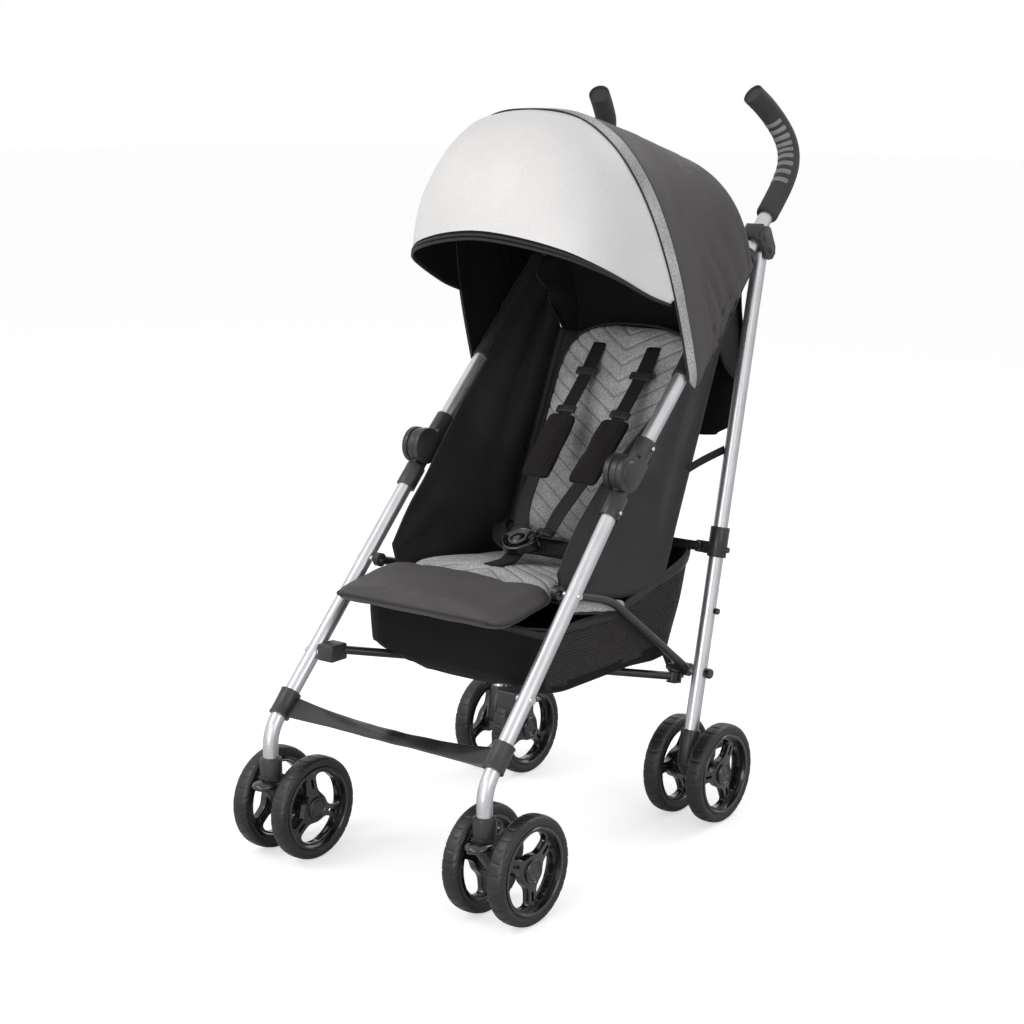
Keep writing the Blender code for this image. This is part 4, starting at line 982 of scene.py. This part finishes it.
def slide(name, middle, run, face, size):  # a bevelled plastic slide across the webbing
    piece = added(bpy.ops.mesh.primitive_cube_add, name, size=1, location=(0, 0, 0), scale=size)
    bpy.ops.object.mode_set(mode="EDIT")
    bpy.ops.mesh.select_all(action="SELECT")
    bpy.ops.mesh.subdivide(number_cuts=2)
    bpy.ops.object.mode_set(mode="OBJECT")
    for vert in piece.data.vertices:
        if abs(vert.co.x) < size[0] * 0.3 and vert.co.z > 0:
            vert.co.z += size[2] * 0.35
    modify(piece, "BEVEL", width=0.0009, segments=3, limit_method="ANGLE", angle_limit=math.radians(25))
    side3 = run.cross(face).normalized()
    turn = Matrix((side3, run, side3.cross(run))).transposed().to_4x4()
    piece.data.transform(Matrix.Translation(middle) @ turn)
    smooth(piece, 35)
    return wear(piece, "plastic", "seat_unit")


harnessSet = {"webbing": 0.025, "thick": 0.0020, "padWidth": 0.050, "padThick": 0.0145, "crotch": 0.030}
padShares = [  # along the pad, and shares of its width and thickness
    (0, 0.80, 0.30), (0.02, 0.90, 0.70), (0.08, 0.98, 0.95), (0.3, 1.02, 1.0), (0.5, 1.0, 1.0), (0.7, 1.03, 1.0),
    (0.92, 1.0, 0.95), (0.98, 0.92, 0.7), (1, 0.82, 0.30),
]
buckleMid = at(0, -0.203, 0.4335)
buckleUp = Vector((0, -0.45, 0.893)).normalized()
buckleBack = Vector((0, buckleUp.z, -buckleUp.y))
low = buckleMid - buckleUp * 0.0075
slotPoint = backFoot + backUp * 0.333 + backFace * 0.0250
for side, tag in ((-1, "L"), (1, "R")):
    across = Vector((side, 0, 0))
    tongueTop = low + buckleBack * 0.040 + buckleUp * 0.003 + across * 0.026
    shoulder = [
        (slotPoint + across * 0.050, backFace),
        (slotPoint + across * 0.050 + Vector((0, -0.045, -0.052)), backFace),
        (at(side * 0.049, -0.042, 0.583), backFace),
        (at(side * 0.046, -0.100, 0.525), backFace),
        (at(side * 0.034, -0.148, 0.476), backFace + buckleUp * 0.5),
        (tongueTop, buckleUp),
    ]
    belt = strap("shoulderStrap" + tag, shoulder, harnessSet["webbing"], harnessSet["thick"], 60)
    wear(belt, "webbing", "seat_unit", ["harness"] if side > 0 else ())
    run = (at(side * 0.0435, -0.113, 0.512) - at(side * 0.0492, -0.030, 0.595)).normalized()
    start = at(side * 0.0492, -0.030, 0.595)
    length = (at(side * 0.0435, -0.113, 0.512) - start).length
    padFace = (backFace - run * backFace.dot(run)).normalized()
    stations = []
    for share, wide, deep in padShares:
        wide, deep = harnessSet["padWidth"] / 2 * wide, harnessSet["padThick"] / 2 * deep
        stations.append((start + run * length * share, wide, deep))
    padRings = []
    for middle, wide, deep in stations:
        ring = []
        for k in range(40):
            turn = 2 * math.pi * k / 40
            a = math.copysign(abs(math.cos(turn)) ** 0.55, math.cos(turn))
            b = math.copysign(abs(math.sin(turn)) ** 0.75, math.sin(turn))
            ring.append(middle + across * (a * wide) + padFace * (b * deep))
        padRings.append(ring)
    columns = [spline([ring[j] for ring in padRings], 40) for j in range(40)]
    shoulderPad = grid("shoulderPad" + tag, [list(ring) for ring in zip(*columns)], ring=True, caps=True)
    recalc(shoulderPad)
    plump(shoulderPad, padFace, 0.0025, 0.004)
    modify(shoulderPad, "SUBSURF", levels=1, render_levels=1)
    for vert in shoulderPad.data.vertices:  # stitch line round the pad's face and soft dents
        along = (vert.co - start).dot(run)
        over = abs((vert.co - start).x - (run.x * along))
        edge = min(along, length - along, harnessSet["padWidth"] / 2 - over)
        if vert.normal.dot(padFace) > 0.2:
            vert.co -= padFace * 0.0011 * math.exp(-((edge - 0.0065) / 0.0014) ** 2)
        vert.co += padFace * ripple(vert.co, 45, 7.0) * 0.0012
    wear(shoulderPad, "padCloth", "seat_unit")
    waist = [
        (low + across * 0.022 + buckleUp * 0.001, buckleUp),
        (low + across * 0.047 + Vector((0, 0.020, -0.001)), buckleUp),
        (at(side * 0.080, -0.150, 0.4300), buckleUp + across * 0.5),
        (at(side * 0.108, -0.110, 0.4330), buckleUp + across * 0.3),
        (at(side * 0.126, -0.072, 0.4250), buckleUp),
    ]
    belt = strap("waistStrap" + tag, waist, harnessSet["webbing"], harnessSet["thick"], 50)
    wear(belt, "webbing", "seat_unit")

    upperRun = (shoulder[1][0] - shoulder[0][0]).normalized()
    slide("strapSlide" + tag, shoulder[0][0].lerp(shoulder[1][0], 0.78) + backFace * 0.001, -upperRun, backFace,
        (0.037, 0.0125, 0.0042))
    slide("strapKeeper" + tag, start - run * 0.010 + padFace * 0.001, -run, padFace, (0.034, 0.012, 0.0048))
    slide("tongue" + tag, tongueTop - across * 0.004 - buckleBack * 0.006, buckleBack, buckleUp,
        (0.030, 0.013, 0.0048))
    for prong in (-0.006, 0.006):
        tip = low + across * (0.014 + prong * 0.4) + buckleBack * 0.014 + buckleUp * 0.007
        root = tongueTop + across * (prong - 0.004) - buckleBack * 0.006
        bar = cordPiece("prong" + tag + str(int(prong * 1000 + 6)),
            [root, root.lerp(tip, 0.5) + buckleUp * 0.002, tip], 0.0021, 12)
        wear(bar, "plastic", "seat_unit")

crotchLine = [
    (low - buckleBack * 0.012 + buckleUp * 0.001, buckleUp),
    (low - buckleBack * 0.030 - buckleUp * 0.0005, buckleUp),
    (at(0, -0.243, 0.4115), Vector((0, -0.1, 1))),
    (at(0, -0.268, 0.4120), Vector((0, -0.05, 1))),
]
crotch = strap("crotchStrap", crotchLine, harnessSet["crotch"], 0.0034, 40)
wear(crotch, "padCloth", "seat_unit")
buckleTurn = Matrix((Vector((1, 0, 0)), buckleBack, buckleUp)).transposed().to_4x4()
buckleSpot = Matrix.Translation(buckleMid) @ buckleTurn

shell = added(
    bpy.ops.mesh.primitive_cylinder_add, "buckleBody",
    vertices=64, radius=0.0262, depth=0.0125, location=(0, 0, 0.0020),
)
bpy.ops.object.mode_set(mode="EDIT")
bpy.ops.mesh.select_all(action="DESELECT")
edit = bmesh.from_edit_mesh(shell.data)
for face in edit.faces:
    face.select = face.normal.z > 0.9
bmesh.update_edit_mesh(shell.data)
bpy.ops.mesh.inset(thickness=0.0035)
bpy.ops.transform.translate(value=(0, 0, 0.0012))
bpy.ops.mesh.inset(thickness=0.0065)
bpy.ops.transform.translate(value=(0, 0, -0.0072))
bpy.ops.object.mode_set(mode="OBJECT")
for vert in shell.data.vertices:  # wings towards the waist straps, waist at the front
    turn = math.atan2(vert.co.y, vert.co.x)
    reach = math.hypot(vert.co.x, vert.co.y)
    if reach > 0.02:
        wing = 0.36 * max(0.0, math.cos(2 * turn)) ** 3 * (1 if vert.co.z < 0.006 else 0.4)
        grow = 1 + wing - 0.10 * max(0.0, -math.sin(turn)) ** 4
        vert.co.x *= grow
        vert.co.y *= 1 + (grow - 1) * 0.3
modify(shell, "BEVEL", width=0.0012, segments=3, limit_method="ANGLE", angle_limit=math.radians(35))
shell.data.transform(buckleSpot)
smooth(shell, 35)
wear(shell, "gloss", "seat_unit", ["buckle"])

button = lathe("releaseButton", [
    (0, 0.005), (0.0149, 0.005), (0.0149, 0.0098), (0.0138, 0.0108), (0.0118, 0.0108), (0.0110, 0.0099),
    (0.0102, 0.0108), (0.006, 0.0117), (0, 0.0120),
], 64)
button.data.transform(Matrix.Rotation(math.radians(-90), 4, "Y"))
button.data.transform(buckleSpot)
smooth(button, 40)
wear(button, "gloss", "buckle_button_unit", ["buckle_button"])
print("harness made")

# basket: a sagging bag with net sides

basketSet = {
    "front": -0.382, "rear": -0.012, "half": 0.1470, "thick": 0.0018,
    "topHalf": 0.1500, "topFront": -0.386, "topRear": 0.048,
}


def basketFloor(x, y):  # hangs in folds over the crossed brace bars
    height = 0.250 + 0.036 * max(0.0, (-0.27 - y) / 0.115) ** 2 - 0.010 * max(0.0, (y + 0.12) / 0.11)
    drop = Vector((-0.020, 0.209))
    front = Vector((lowerPoint[0] + (0.289 - lowerPoint[1]) * math.tan(math.radians(lowerTilt)), 0.289))
    run = (front - drop).normalized()
    for side in (1, -1):
        start = Vector((side * 0.148, drop.x, drop.y))
        reach = (front - drop).length - 0.018
        end = Vector((-side * 0.158, drop.x + run.x * reach, drop.y + run.y * reach))
        share = (start.y - y) / (start.y - end.y)
        barX = start.x + (end.x - start.x) * share
        slope = (start - end).xy.normalized()
        distance = abs((x - barX) * slope.y)
        top = start.z + (end.z - start.z) * share + 0.0075 * side + 0.0080
        height = max(height, top - 0.6 * max(0.0, distance - 0.017))
    return height


def basketRing(grow, level, count=132):  # a rounded rectangle; level runs from the floor to the hem
    ring = []
    out = level ** 0.4
    half = basketSet["half"] + (basketSet["topHalf"] - basketSet["half"]) * out
    front = basketSet["front"] + (basketSet["topFront"] - basketSet["front"]) * out
    rear = basketSet["rear"] + (basketSet["topRear"] - basketSet["rear"]) * level
    for k in range(count):
        side, share = divmod(k / count * 4, 1)
        turn = math.pi / 2 * side + (share - 0.5) * math.pi / 2
        a, b = math.cos(turn), math.sin(turn)
        stretch = 1 / max(abs(a), abs(b))
        a, b = a * stretch, b * stretch
        over = max(0.0, abs(a) + abs(b) - 1.78)
        a -= math.copysign(over * 0.30, a)
        b -= math.copysign(over * 0.30, b)
        x = a * half * grow
        y = (front + rear) / 2 + b * (rear - front) / 2 * grow
        floorZ = basketFloor(x, max(-0.386, min(-0.012, y))) + 0.009 * max(0.0, (grow - 0.86) / 0.14) ** 2
        along = (b + 1) / 2
        topZ = 0.352 + 0.052 * max(0.0, min(1.0, (along - 0.50) / 0.48)) + 0.018 * max(0.0, 1 - along / 0.10)
        ring.append(at(x, y, floorZ + (topZ - floorZ) * level))
    return ring


basketRows = [basketRing(grow, 0.0) for grow in (0.02, 0.25, 0.45, 0.62, 0.76, 0.87, 0.95, 1.0)]
basketRows += [basketRing(1.0, level / 14) for level in range(1, 15)]
for i, row in enumerate(basketRows):
    if i > 7:
        rise = (i - 7) / 14
        for point in row:
            bulge = math.sin(math.pi * rise) * (0.5 + ripple(point, 9, 12.0)) * 0.006
            way = Vector((point.x, point.y - rearAxleY + 0.19, 0))
            point += way.normalized() * (bulge - 0.003 * math.sin(math.pi * rise))
            point.z += ripple(point, 24, 3.0) * 0.003 * rise
basket = grid("basketBag", basketRows, ring=True)
faceOut(basket, at(0, -0.18, 0.33))
basket.data.materials.append(looks["lining"].material)
basket.data.materials.append(looks["net"].material)
for face in basket.data.polygons:
    middle = face.center
    onSide = abs(middle.x) > 0.128 and abs(face.normal.x) > 0.75
    if onSide and middle.z > 0.270 and -0.33 < middle.y - rearAxleY < 0.036:
        hemZ = 0.338 + 0.052 * max(0.0, (middle.y - rearAxleY + 0.169) / 0.208)
        face.material_index = 1 if middle.z < hemZ else 0
modify(basket, "SOLIDIFY", thickness=basketSet["thick"], offset=-1.0)
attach(basket, "seat_unit")
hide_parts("basket")
hemRows = []
for share in (0.0, 0.5, 1.0):  # folded hem outside the net
    line = []
    for top, under in zip(basketRows[-1], basketRows[-3]):
        spot = top.lerp(under, 0.85 * share)
        way = Vector((spot.x, spot.y - rearAxleY + 0.19, 0)).normalized()
        line.append(spot + way * (0.0012 + 0.0010 * (1 - abs(2 * share - 1))))
    hemRows.append(line)
hem = grid("basketHem", hemRows, ring=True)
modify(hem, "SOLIDIFY", thickness=0.0016, offset=0.0)
wear(hem, "black", "seat_unit")
hemLine = basketRows[-1][::4] + basketRows[-1][:1]
wear(cordPiece("basketPiping", hemLine, 0.0020, 200), "black", "seat_unit")
print("basket made")

# footrest strap and sleeves

footSet = {"half": 0.017, "reach": 0.1915, "sag": 0.006, "thick": 0.0024}
footRings = []
profile = [(-1, 0), (-0.95, 0.8), (-0.5, 1), (0, 1.1), (0.5, 1), (0.95, 0.8), (1, 0), (0.95, -0.8), (0.5, -1),
    (0, -1.1), (-0.5, -1), (-0.95, -0.8)]
for k in range(61):
    share = -1 + k / 30
    twist = abs(share) ** 3
    level = Vector((0, -0.985, -0.17))
    across = (level * (1 - twist) - lowerLean * twist).normalized()
    face = Vector((0, -across.z, across.y))
    middle = at(footSet["reach"] * share, -0.4965, 0.2225 - footSet["sag"] * (1 - share ** 2))
    cup = 0.0016 * (1 - abs(share) ** 2)
    wave = ripple((share * 3, 0, 0), 1.7, 4.0) * 0.0012
    ring = []
    for a, b in profile:
        height = b * footSet["thick"] / 2 - cup * (1 - a * a) + wave
        ring.append(middle + across * (a * footSet["half"]) + face * height)
    footRings.append(ring)
footStrap = grid("footStrap", footRings, ring=True, caps=True)
recalc(footStrap)
modify(footStrap, "SUBSURF", levels=1, render_levels=1)
wear(footStrap, "steel", "front_r", ["footrest"])
sleeveProfile = [(0.0114, -0.0195), (0.0152, -0.0195), (0.0156, -0.0180), (0.0150, -0.0165), (0.0147, 0.0)]
sleeveProfile += [(radius, -along) for radius, along in sleeveProfile[3::-1]]
for side, tag in sides:
    legX = 0.194 - (0.2245 - 0.208) / (0.5583 - 0.208) * 0.011  # the leg leans outwards to its stem
    middle = at(side * legX, *lowerPoint) - lowerLean * 0.0195
    sleeve = turned("footSleeve" + tag, sleeveProfile, 48, middle, lowerLean, 40)
    wear(sleeve, "plastic", "front_" + tag.lower())
print("footrest made")

# wheels: one tyre and one rim, copied to eight places

wheelSet = {
    "front": (4, 68), "rear": (25, 50), "grooves": 28, "grooveDepth": 0.0012, "spoke": 0.0165,
    "windowMid": 0.0370, "windowHalf": 0.0153,
}
half = [(0.0611, 0.0118), (0.0655, 0.0132), (0.0690, 0.0135), (0.0718, 0.0124), (0.0737, 0.0100), (0.0746, 0.0068),
    (0.0750, 0.0032)]
tyreProfile = [(radius, -along) for radius, along in half] + half[::-1]
tyre = lathe("tyre", tyreProfile, wheelSet["grooves"] * 14)
for vert in tyre.data.vertices:  # slanted grooves over the shoulders
    radius = math.hypot(vert.co.y, vert.co.z)
    if radius > 0.0665:
        turn = math.atan2(vert.co.z, vert.co.y) / (2 * math.pi) * wheelSet["grooves"]
        lay = turn + abs(vert.co.x) / 0.0135 * 0.42
        near = abs((lay % 1) - 0.5)
        if near > 0.455:
            shrink = 1 - wheelSet["grooveDepth"] / radius
            vert.co.y *= shrink
            vert.co.z *= shrink
smooth(tyre, 50)

rimRing = lathe("rim", [(0.0606, -0.0122), (0.0606, 0.0124), (0.0598, 0.0134), (0.0572, 0.0136), (0.0558, 0.0124),
    (0.0548, 0.0085), (0.0535, 0.0050), (0.0535, -0.0050), (0.0550, -0.0105), (0.0562, -0.0122)], 112)
web = lathe("web", [(0.0, 0.0085), (0.0165, 0.0085), (0.0260, 0.0062), (0.0545, 0.0052), (0.0545, -0.0048),
    (0.0260, -0.0040), (0.0165, -0.0045), (0.0, -0.0045)], 112)
for number in range(3):
    turn = math.radians(90 + 120 * number)
    window = added(
        bpy.ops.mesh.primitive_cylinder_add, "window",
        vertices=48, radius=1, depth=0.05, location=(0, 0, 0), rotation=(0, math.radians(90), 0),
    )
    for vert in window.data.vertices:  # bent round the hub between two even spokes
        about = math.atan2(vert.co.z, vert.co.y)
        u = math.copysign(abs(math.cos(about)) ** 0.5, math.cos(about))
        v = math.copysign(abs(math.sin(about)) ** 0.5, math.sin(about))
        radius = wheelSet["windowMid"] + wheelSet["windowHalf"] * v
        angle = turn - u * (math.pi / 3 - math.asin(wheelSet["spoke"] / 2 / radius))
        vert.co.y, vert.co.z = radius * math.cos(angle), radius * math.sin(angle)
    slit = added(bpy.ops.mesh.primitive_cube_add, "slit", size=1, location=(0, 0, 0.0365),
        scale=(0.05, 0.0046, 0.0150))
    modify(slit, "BEVEL", width=0.0016, segments=3)
    slit.data.transform(Matrix.Rotation(turn + math.pi / 3 - math.pi / 2, 4, "X"))
    for cutter in (window, slit):
        modify(web, "BOOLEAN", operation="DIFFERENCE", solver="EXACT", object=cutter)
        bpy.data.objects.remove(cutter)
modify(web, "BEVEL", width=0.0011, segments=3, limit_method="ANGLE", angle_limit=math.radians(40))
hub = lathe("hub", [(0.0, 0.0104), (0.0095, 0.0104), (0.0102, 0.0112), (0.0112, 0.0112), (0.0120, 0.0102),
    (0.0132, 0.0102), (0.0142, 0.0118), (0.0158, 0.0118), (0.0168, 0.0108), (0.0172, 0.0060), (0.0172, -0.0045),
    (0.0130, -0.0250), (0.0046, -0.0250), (0.0046, -0.0045), (0.0, -0.0045)], 64)
wheelRim = joined([web, rimRing, hub], "wheelRim")
smooth(wheelRim, 35)

wheelParts = ((wheelRim, "rim_", "gloss", "black_plastic"), (tyre, "tyre_", "tyre", "tyre_rubber"))
for end, halfTrack, axle in (("front", 0.194, -0.4826), ("rear", 0.183, 0.0)):
    for side, t in ((1, "r"), (-1, "l")):
        for face, place in ((1, "out"), (-1, "in")):
            key = end + "_" + t + "_" + place
            looksTo = side * face
            centreOf = at(side * halfTrack + looksTo * 0.0375, axle, 0.075)
            stand = Matrix.Rotation(math.radians(wheelSet[end][0 if side > 0 else 1]), 4, "X")
            flip = Matrix.Diagonal((looksTo, 1, 1, 1)) @ stand
            for model, kind, look, slot in wheelParts:
                made = twin(model, camel(kind + key), Matrix.Translation(centreOf) @ flip)
                wear(made, look, "wheel_" + key, [kind + key])
bpy.data.objects.remove(tyre)
bpy.data.objects.remove(wheelRim)
print("wheels made")

# grips with their inlaid bars, and the hood's clips

gripSet = {
    "radius": 0.0165, "steps": 120, "facets": 40, "bars": 9, "barStart": 0.235, "barStep": 0.067,
    "barLength": 0.0084, "barSpread": 60,
}
gripLine = [
    (0.183, 0.1590, 0.8930), (0.183, 0.1843, 0.9173), (0.182, 0.2070, 0.9400), (0.179, 0.2260, 0.9632),
    (0.173, 0.2367, 0.9856), (0.166, 0.2352, 1.0082), (0.157, 0.2243, 1.0309), (0.149, 0.2040, 1.0530),
    (0.141, 0.1826, 1.0710),
]
gripEnd = [  # distance past the tip, radius
    (0.0006, 0.0164), (0.0010, 0.0158), (0.0010, 0.0150), (0.0006, 0.0144), (-0.0004, 0.0138), (-0.0022, 0.0132),
    (-0.0024, 0.0060),
]
for side, t in ((1, "r"), (-1, "l")):
    line = spline([at(side * x, y, z) for x, y, z in gripLine], gripSet["steps"])
    rings = []
    across = Vector((1, 0, 0))
    frames = []
    for i, point in enumerate(line):
        run = (line[min(i + 1, len(line) - 1)] - line[max(i - 1, 0)]).normalized()
        across = (across - run * across.dot(run)).normalized()
        frames.append((point, run, across, run.cross(across)))
    tip, tipRun, tipAcross, tipUp = frames[-1]
    radii = [0.0148, 0.0160, gripSet["radius"]]
    for i, (point, run, acr, other) in enumerate(frames):
        radius = radii[i] if i < 3 else gripSet["radius"]
        rings.append(ringAt(point, acr, other, radius, gripSet["facets"]))
    for along, radius in gripEnd:
        rings.append(ringAt(tip + tipRun * along, tipAcross, tipUp, radius, gripSet["facets"]))
    grip = grid(camel("grip_" + t), rings, ring=True, caps=True)
    recalc(grip)
    smooth(grip, 50)
    wear(grip, "foam", "side_" + t, ["grip_" + t])
    bars = []
    for number in range(gripSet["bars"]):
        middle = int((len(line) - 1) * (gripSet["barStart"] + gripSet["barStep"] * number))
        point, run, acr, other = frames[middle]
        front = Vector((0, -1, 0))
        front = (front - run * front.dot(run)).normalized()
        beside = run.cross(front)
        before, after = frames[middle - 2], frames[middle + 2]
        bend = (after[1] - before[1]) / (after[0] - before[0]).length
        barRows = []
        for k in range(7):
            step = (k / 3 - 1) * gripSet["barLength"] / 2
            tuck = math.sqrt(max(0.0, 1 - (k / 3 - 1) ** 2))
            row = []
            for a in range(13):
                angle = math.radians(gripSet["barSpread"] * (a / 6 - 1) * (0.90 + 0.10 * tuck))
                out = front * math.cos(angle) + beside * math.sin(angle)
                soften = min(1.0, 1.9 * (1 - abs(a / 6 - 1)) + 0.1)
                bow = out * (gripSet["radius"] + 0.00025 + 0.0005 * min(1.0, tuck * 2) * soften)
                shift = run * step + bend * (step * step / 2)
                row.append(point + shift + bow - run * (out.dot(bend) * step * gripSet["radius"]))
            barRows.append(row)
        bars.append(grid("bar", barRows))
    inlay = joined(bars, "gripBars" + t.upper())
    modify(inlay, "SOLIDIFY", thickness=0.0006, offset=-1.0)
    wear(inlay, "insert", "side_" + t)

    clipProfile = [(0.0113, -0.0055), (0.0148, -0.0055), (0.0156, -0.0045)]
    clipProfile += [(radius, -along) for radius, along in clipProfile[::-1]]
    clip = turned("hoodClip" + t.upper(), clipProfile, 48, at(side * 0.183, 0.104, 0.8385), upperLean)
    wear(clip, "plastic", "side_" + t)

# small fittings: rivets, caps, nuts, fenders, clamp blocks, sleeves and straps


def rivet(name, place, way, radius, body):
    profile = [(0.0, 0.0), (1.0, 0.0), (1.0, 0.25), (0.8, 0.5), (0.4, 0.62), (0.0, 0.66)]
    piece = turned(name, [(radius * a, radius * b) for a, b in profile], 24, place, way, 50)
    return wear(piece, "zinc", body)


def capOn(name, place, way, profile, body, look="plastic"):  # a lathed black cap, collar or nut
    return wear(turned(name, profile, 40, place, way), look, body)


for side, t in ((1, "r"), (-1, "l")):
    out = Vector((side, 0, 0))
    upperMid = at(0, *upperPoint)
    knuckle = at(0, *knucklePoint)
    onUpper = upperMid + upperLean * ((knuckle - upperMid).dot(upperLean) + 0.056)
    lowerMid = at(0, *lowerPoint)
    onLower = lowerMid + lowerLean * ((knuckle - lowerMid).dot(lowerLean) - 0.056)
    rivet("sleeveRivetU" + t, onUpper + out * 0.1995, out, 0.0030, "side_" + t)
    rivet("sleeveRivetL" + t, onLower + out * 0.2001, out, 0.0030, "front_" + t)

capProfile = [
    (0.0118, 0.1278), (0.0156, 0.1278), (0.0160, 0.1290), (0.0160, 0.1480), (0.0152, 0.1520), (0.0118, 0.1535),
]
nutProfile = [
    (0.0, 0.0), (0.0074, 0.0), (0.0078, 0.0008), (0.0078, 0.0070), (0.0068, 0.0084), (0.0044, 0.0088),
    (0.0040, 0.0080), (0.0, 0.0080),
]
pinProfile = [(0.0, -0.0004), (0.0058, -0.0004), (0.0064, 0.0004), (0.0064, 0.0280), (0.0, 0.0280)]
beltLine = [(0.148, -0.006, 0.524), (0.160, 0.034, 0.539), (0.172, 0.074, 0.551)]
rise = Vector((0, 0, 1))
for side, t in ((1, "r"), (-1, "l")):
    out = Vector((side, 0, 0))
    stem = at(side * 0.194, -0.5265, 0)
    capOn("stemCap" + t.upper(), stem, rise, capProfile, "front_" + t)
    lobe = added(
        bpy.ops.mesh.primitive_uv_sphere_add, "fender" + t.upper(),
        segments=40, ring_count=20, radius=1,
        location=stem + Vector((0, -0.011, 0.1150)), scale=(0.0185, 0.0210, 0.0085),
    )
    smooth(lobe, 60)
    wear(lobe, "gloss", "caster_" + t)
    mid, tall = (0.2835, 0.0270) if side > 0 else (0.2915, 0.0240)
    block = added(
        bpy.ops.mesh.primitive_cube_add, "clampBlock" + t.upper(),
        size=1, location=at(side * 0.1640, -0.4280, mid), scale=(0.0290, 0.0330, tall),
    )
    modify(block, "BEVEL", width=0.0028, segments=4, limit_method="ANGLE", angle_limit=math.radians(30))
    smooth(block, 35)
    wear(block, "plastic", "front_" + t)
    capOn("lowerNut" + t.upper(), at(side * 0.1950, 0.0008, 0.225), out, nutProfile, "rear_" + t, "gloss")
    smaller = [(radius * 0.62, along * 0.8) for radius, along in nutProfile]
    capOn("middleNut" + t.upper(), at(side * 0.1940, 0.0222, 0.316), out, smaller, "rear_" + t, "gloss")
    capOn("pinSleeve" + t.upper(), at(side * 0.1262, 0.0008, 0.225), out, pinProfile, "rear_" + t)
    lower = upperMid + Vector((side * 0.183, 0, 0)) + upperLean * 0.030
    run = [lower, lower + upperLean * 0.1, lower + upperLean * 0.205]
    sleeve = cordPiece("tubeSleeve" + t.upper(), run, 0.0132, 70, 28)
    for vert in sleeve.data.vertices:
        vert.co += vert.normal * ripple(vert.co, 40, 6.0) * 0.0012
    wear(sleeve, "black", "side_" + t)
    run = [(at(side * x, y, z), out) for x, y, z in beltLine]
    belt = strap("reclineStrap" + t.upper(), run, 0.013, 0.0018, 24)
    folding.append(wear(belt, "webbing", "rear_" + t))
print("small fittings made")

folding += [visor, basket]
folding.remove(shell)
for piece in folding:
    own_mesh(piece)
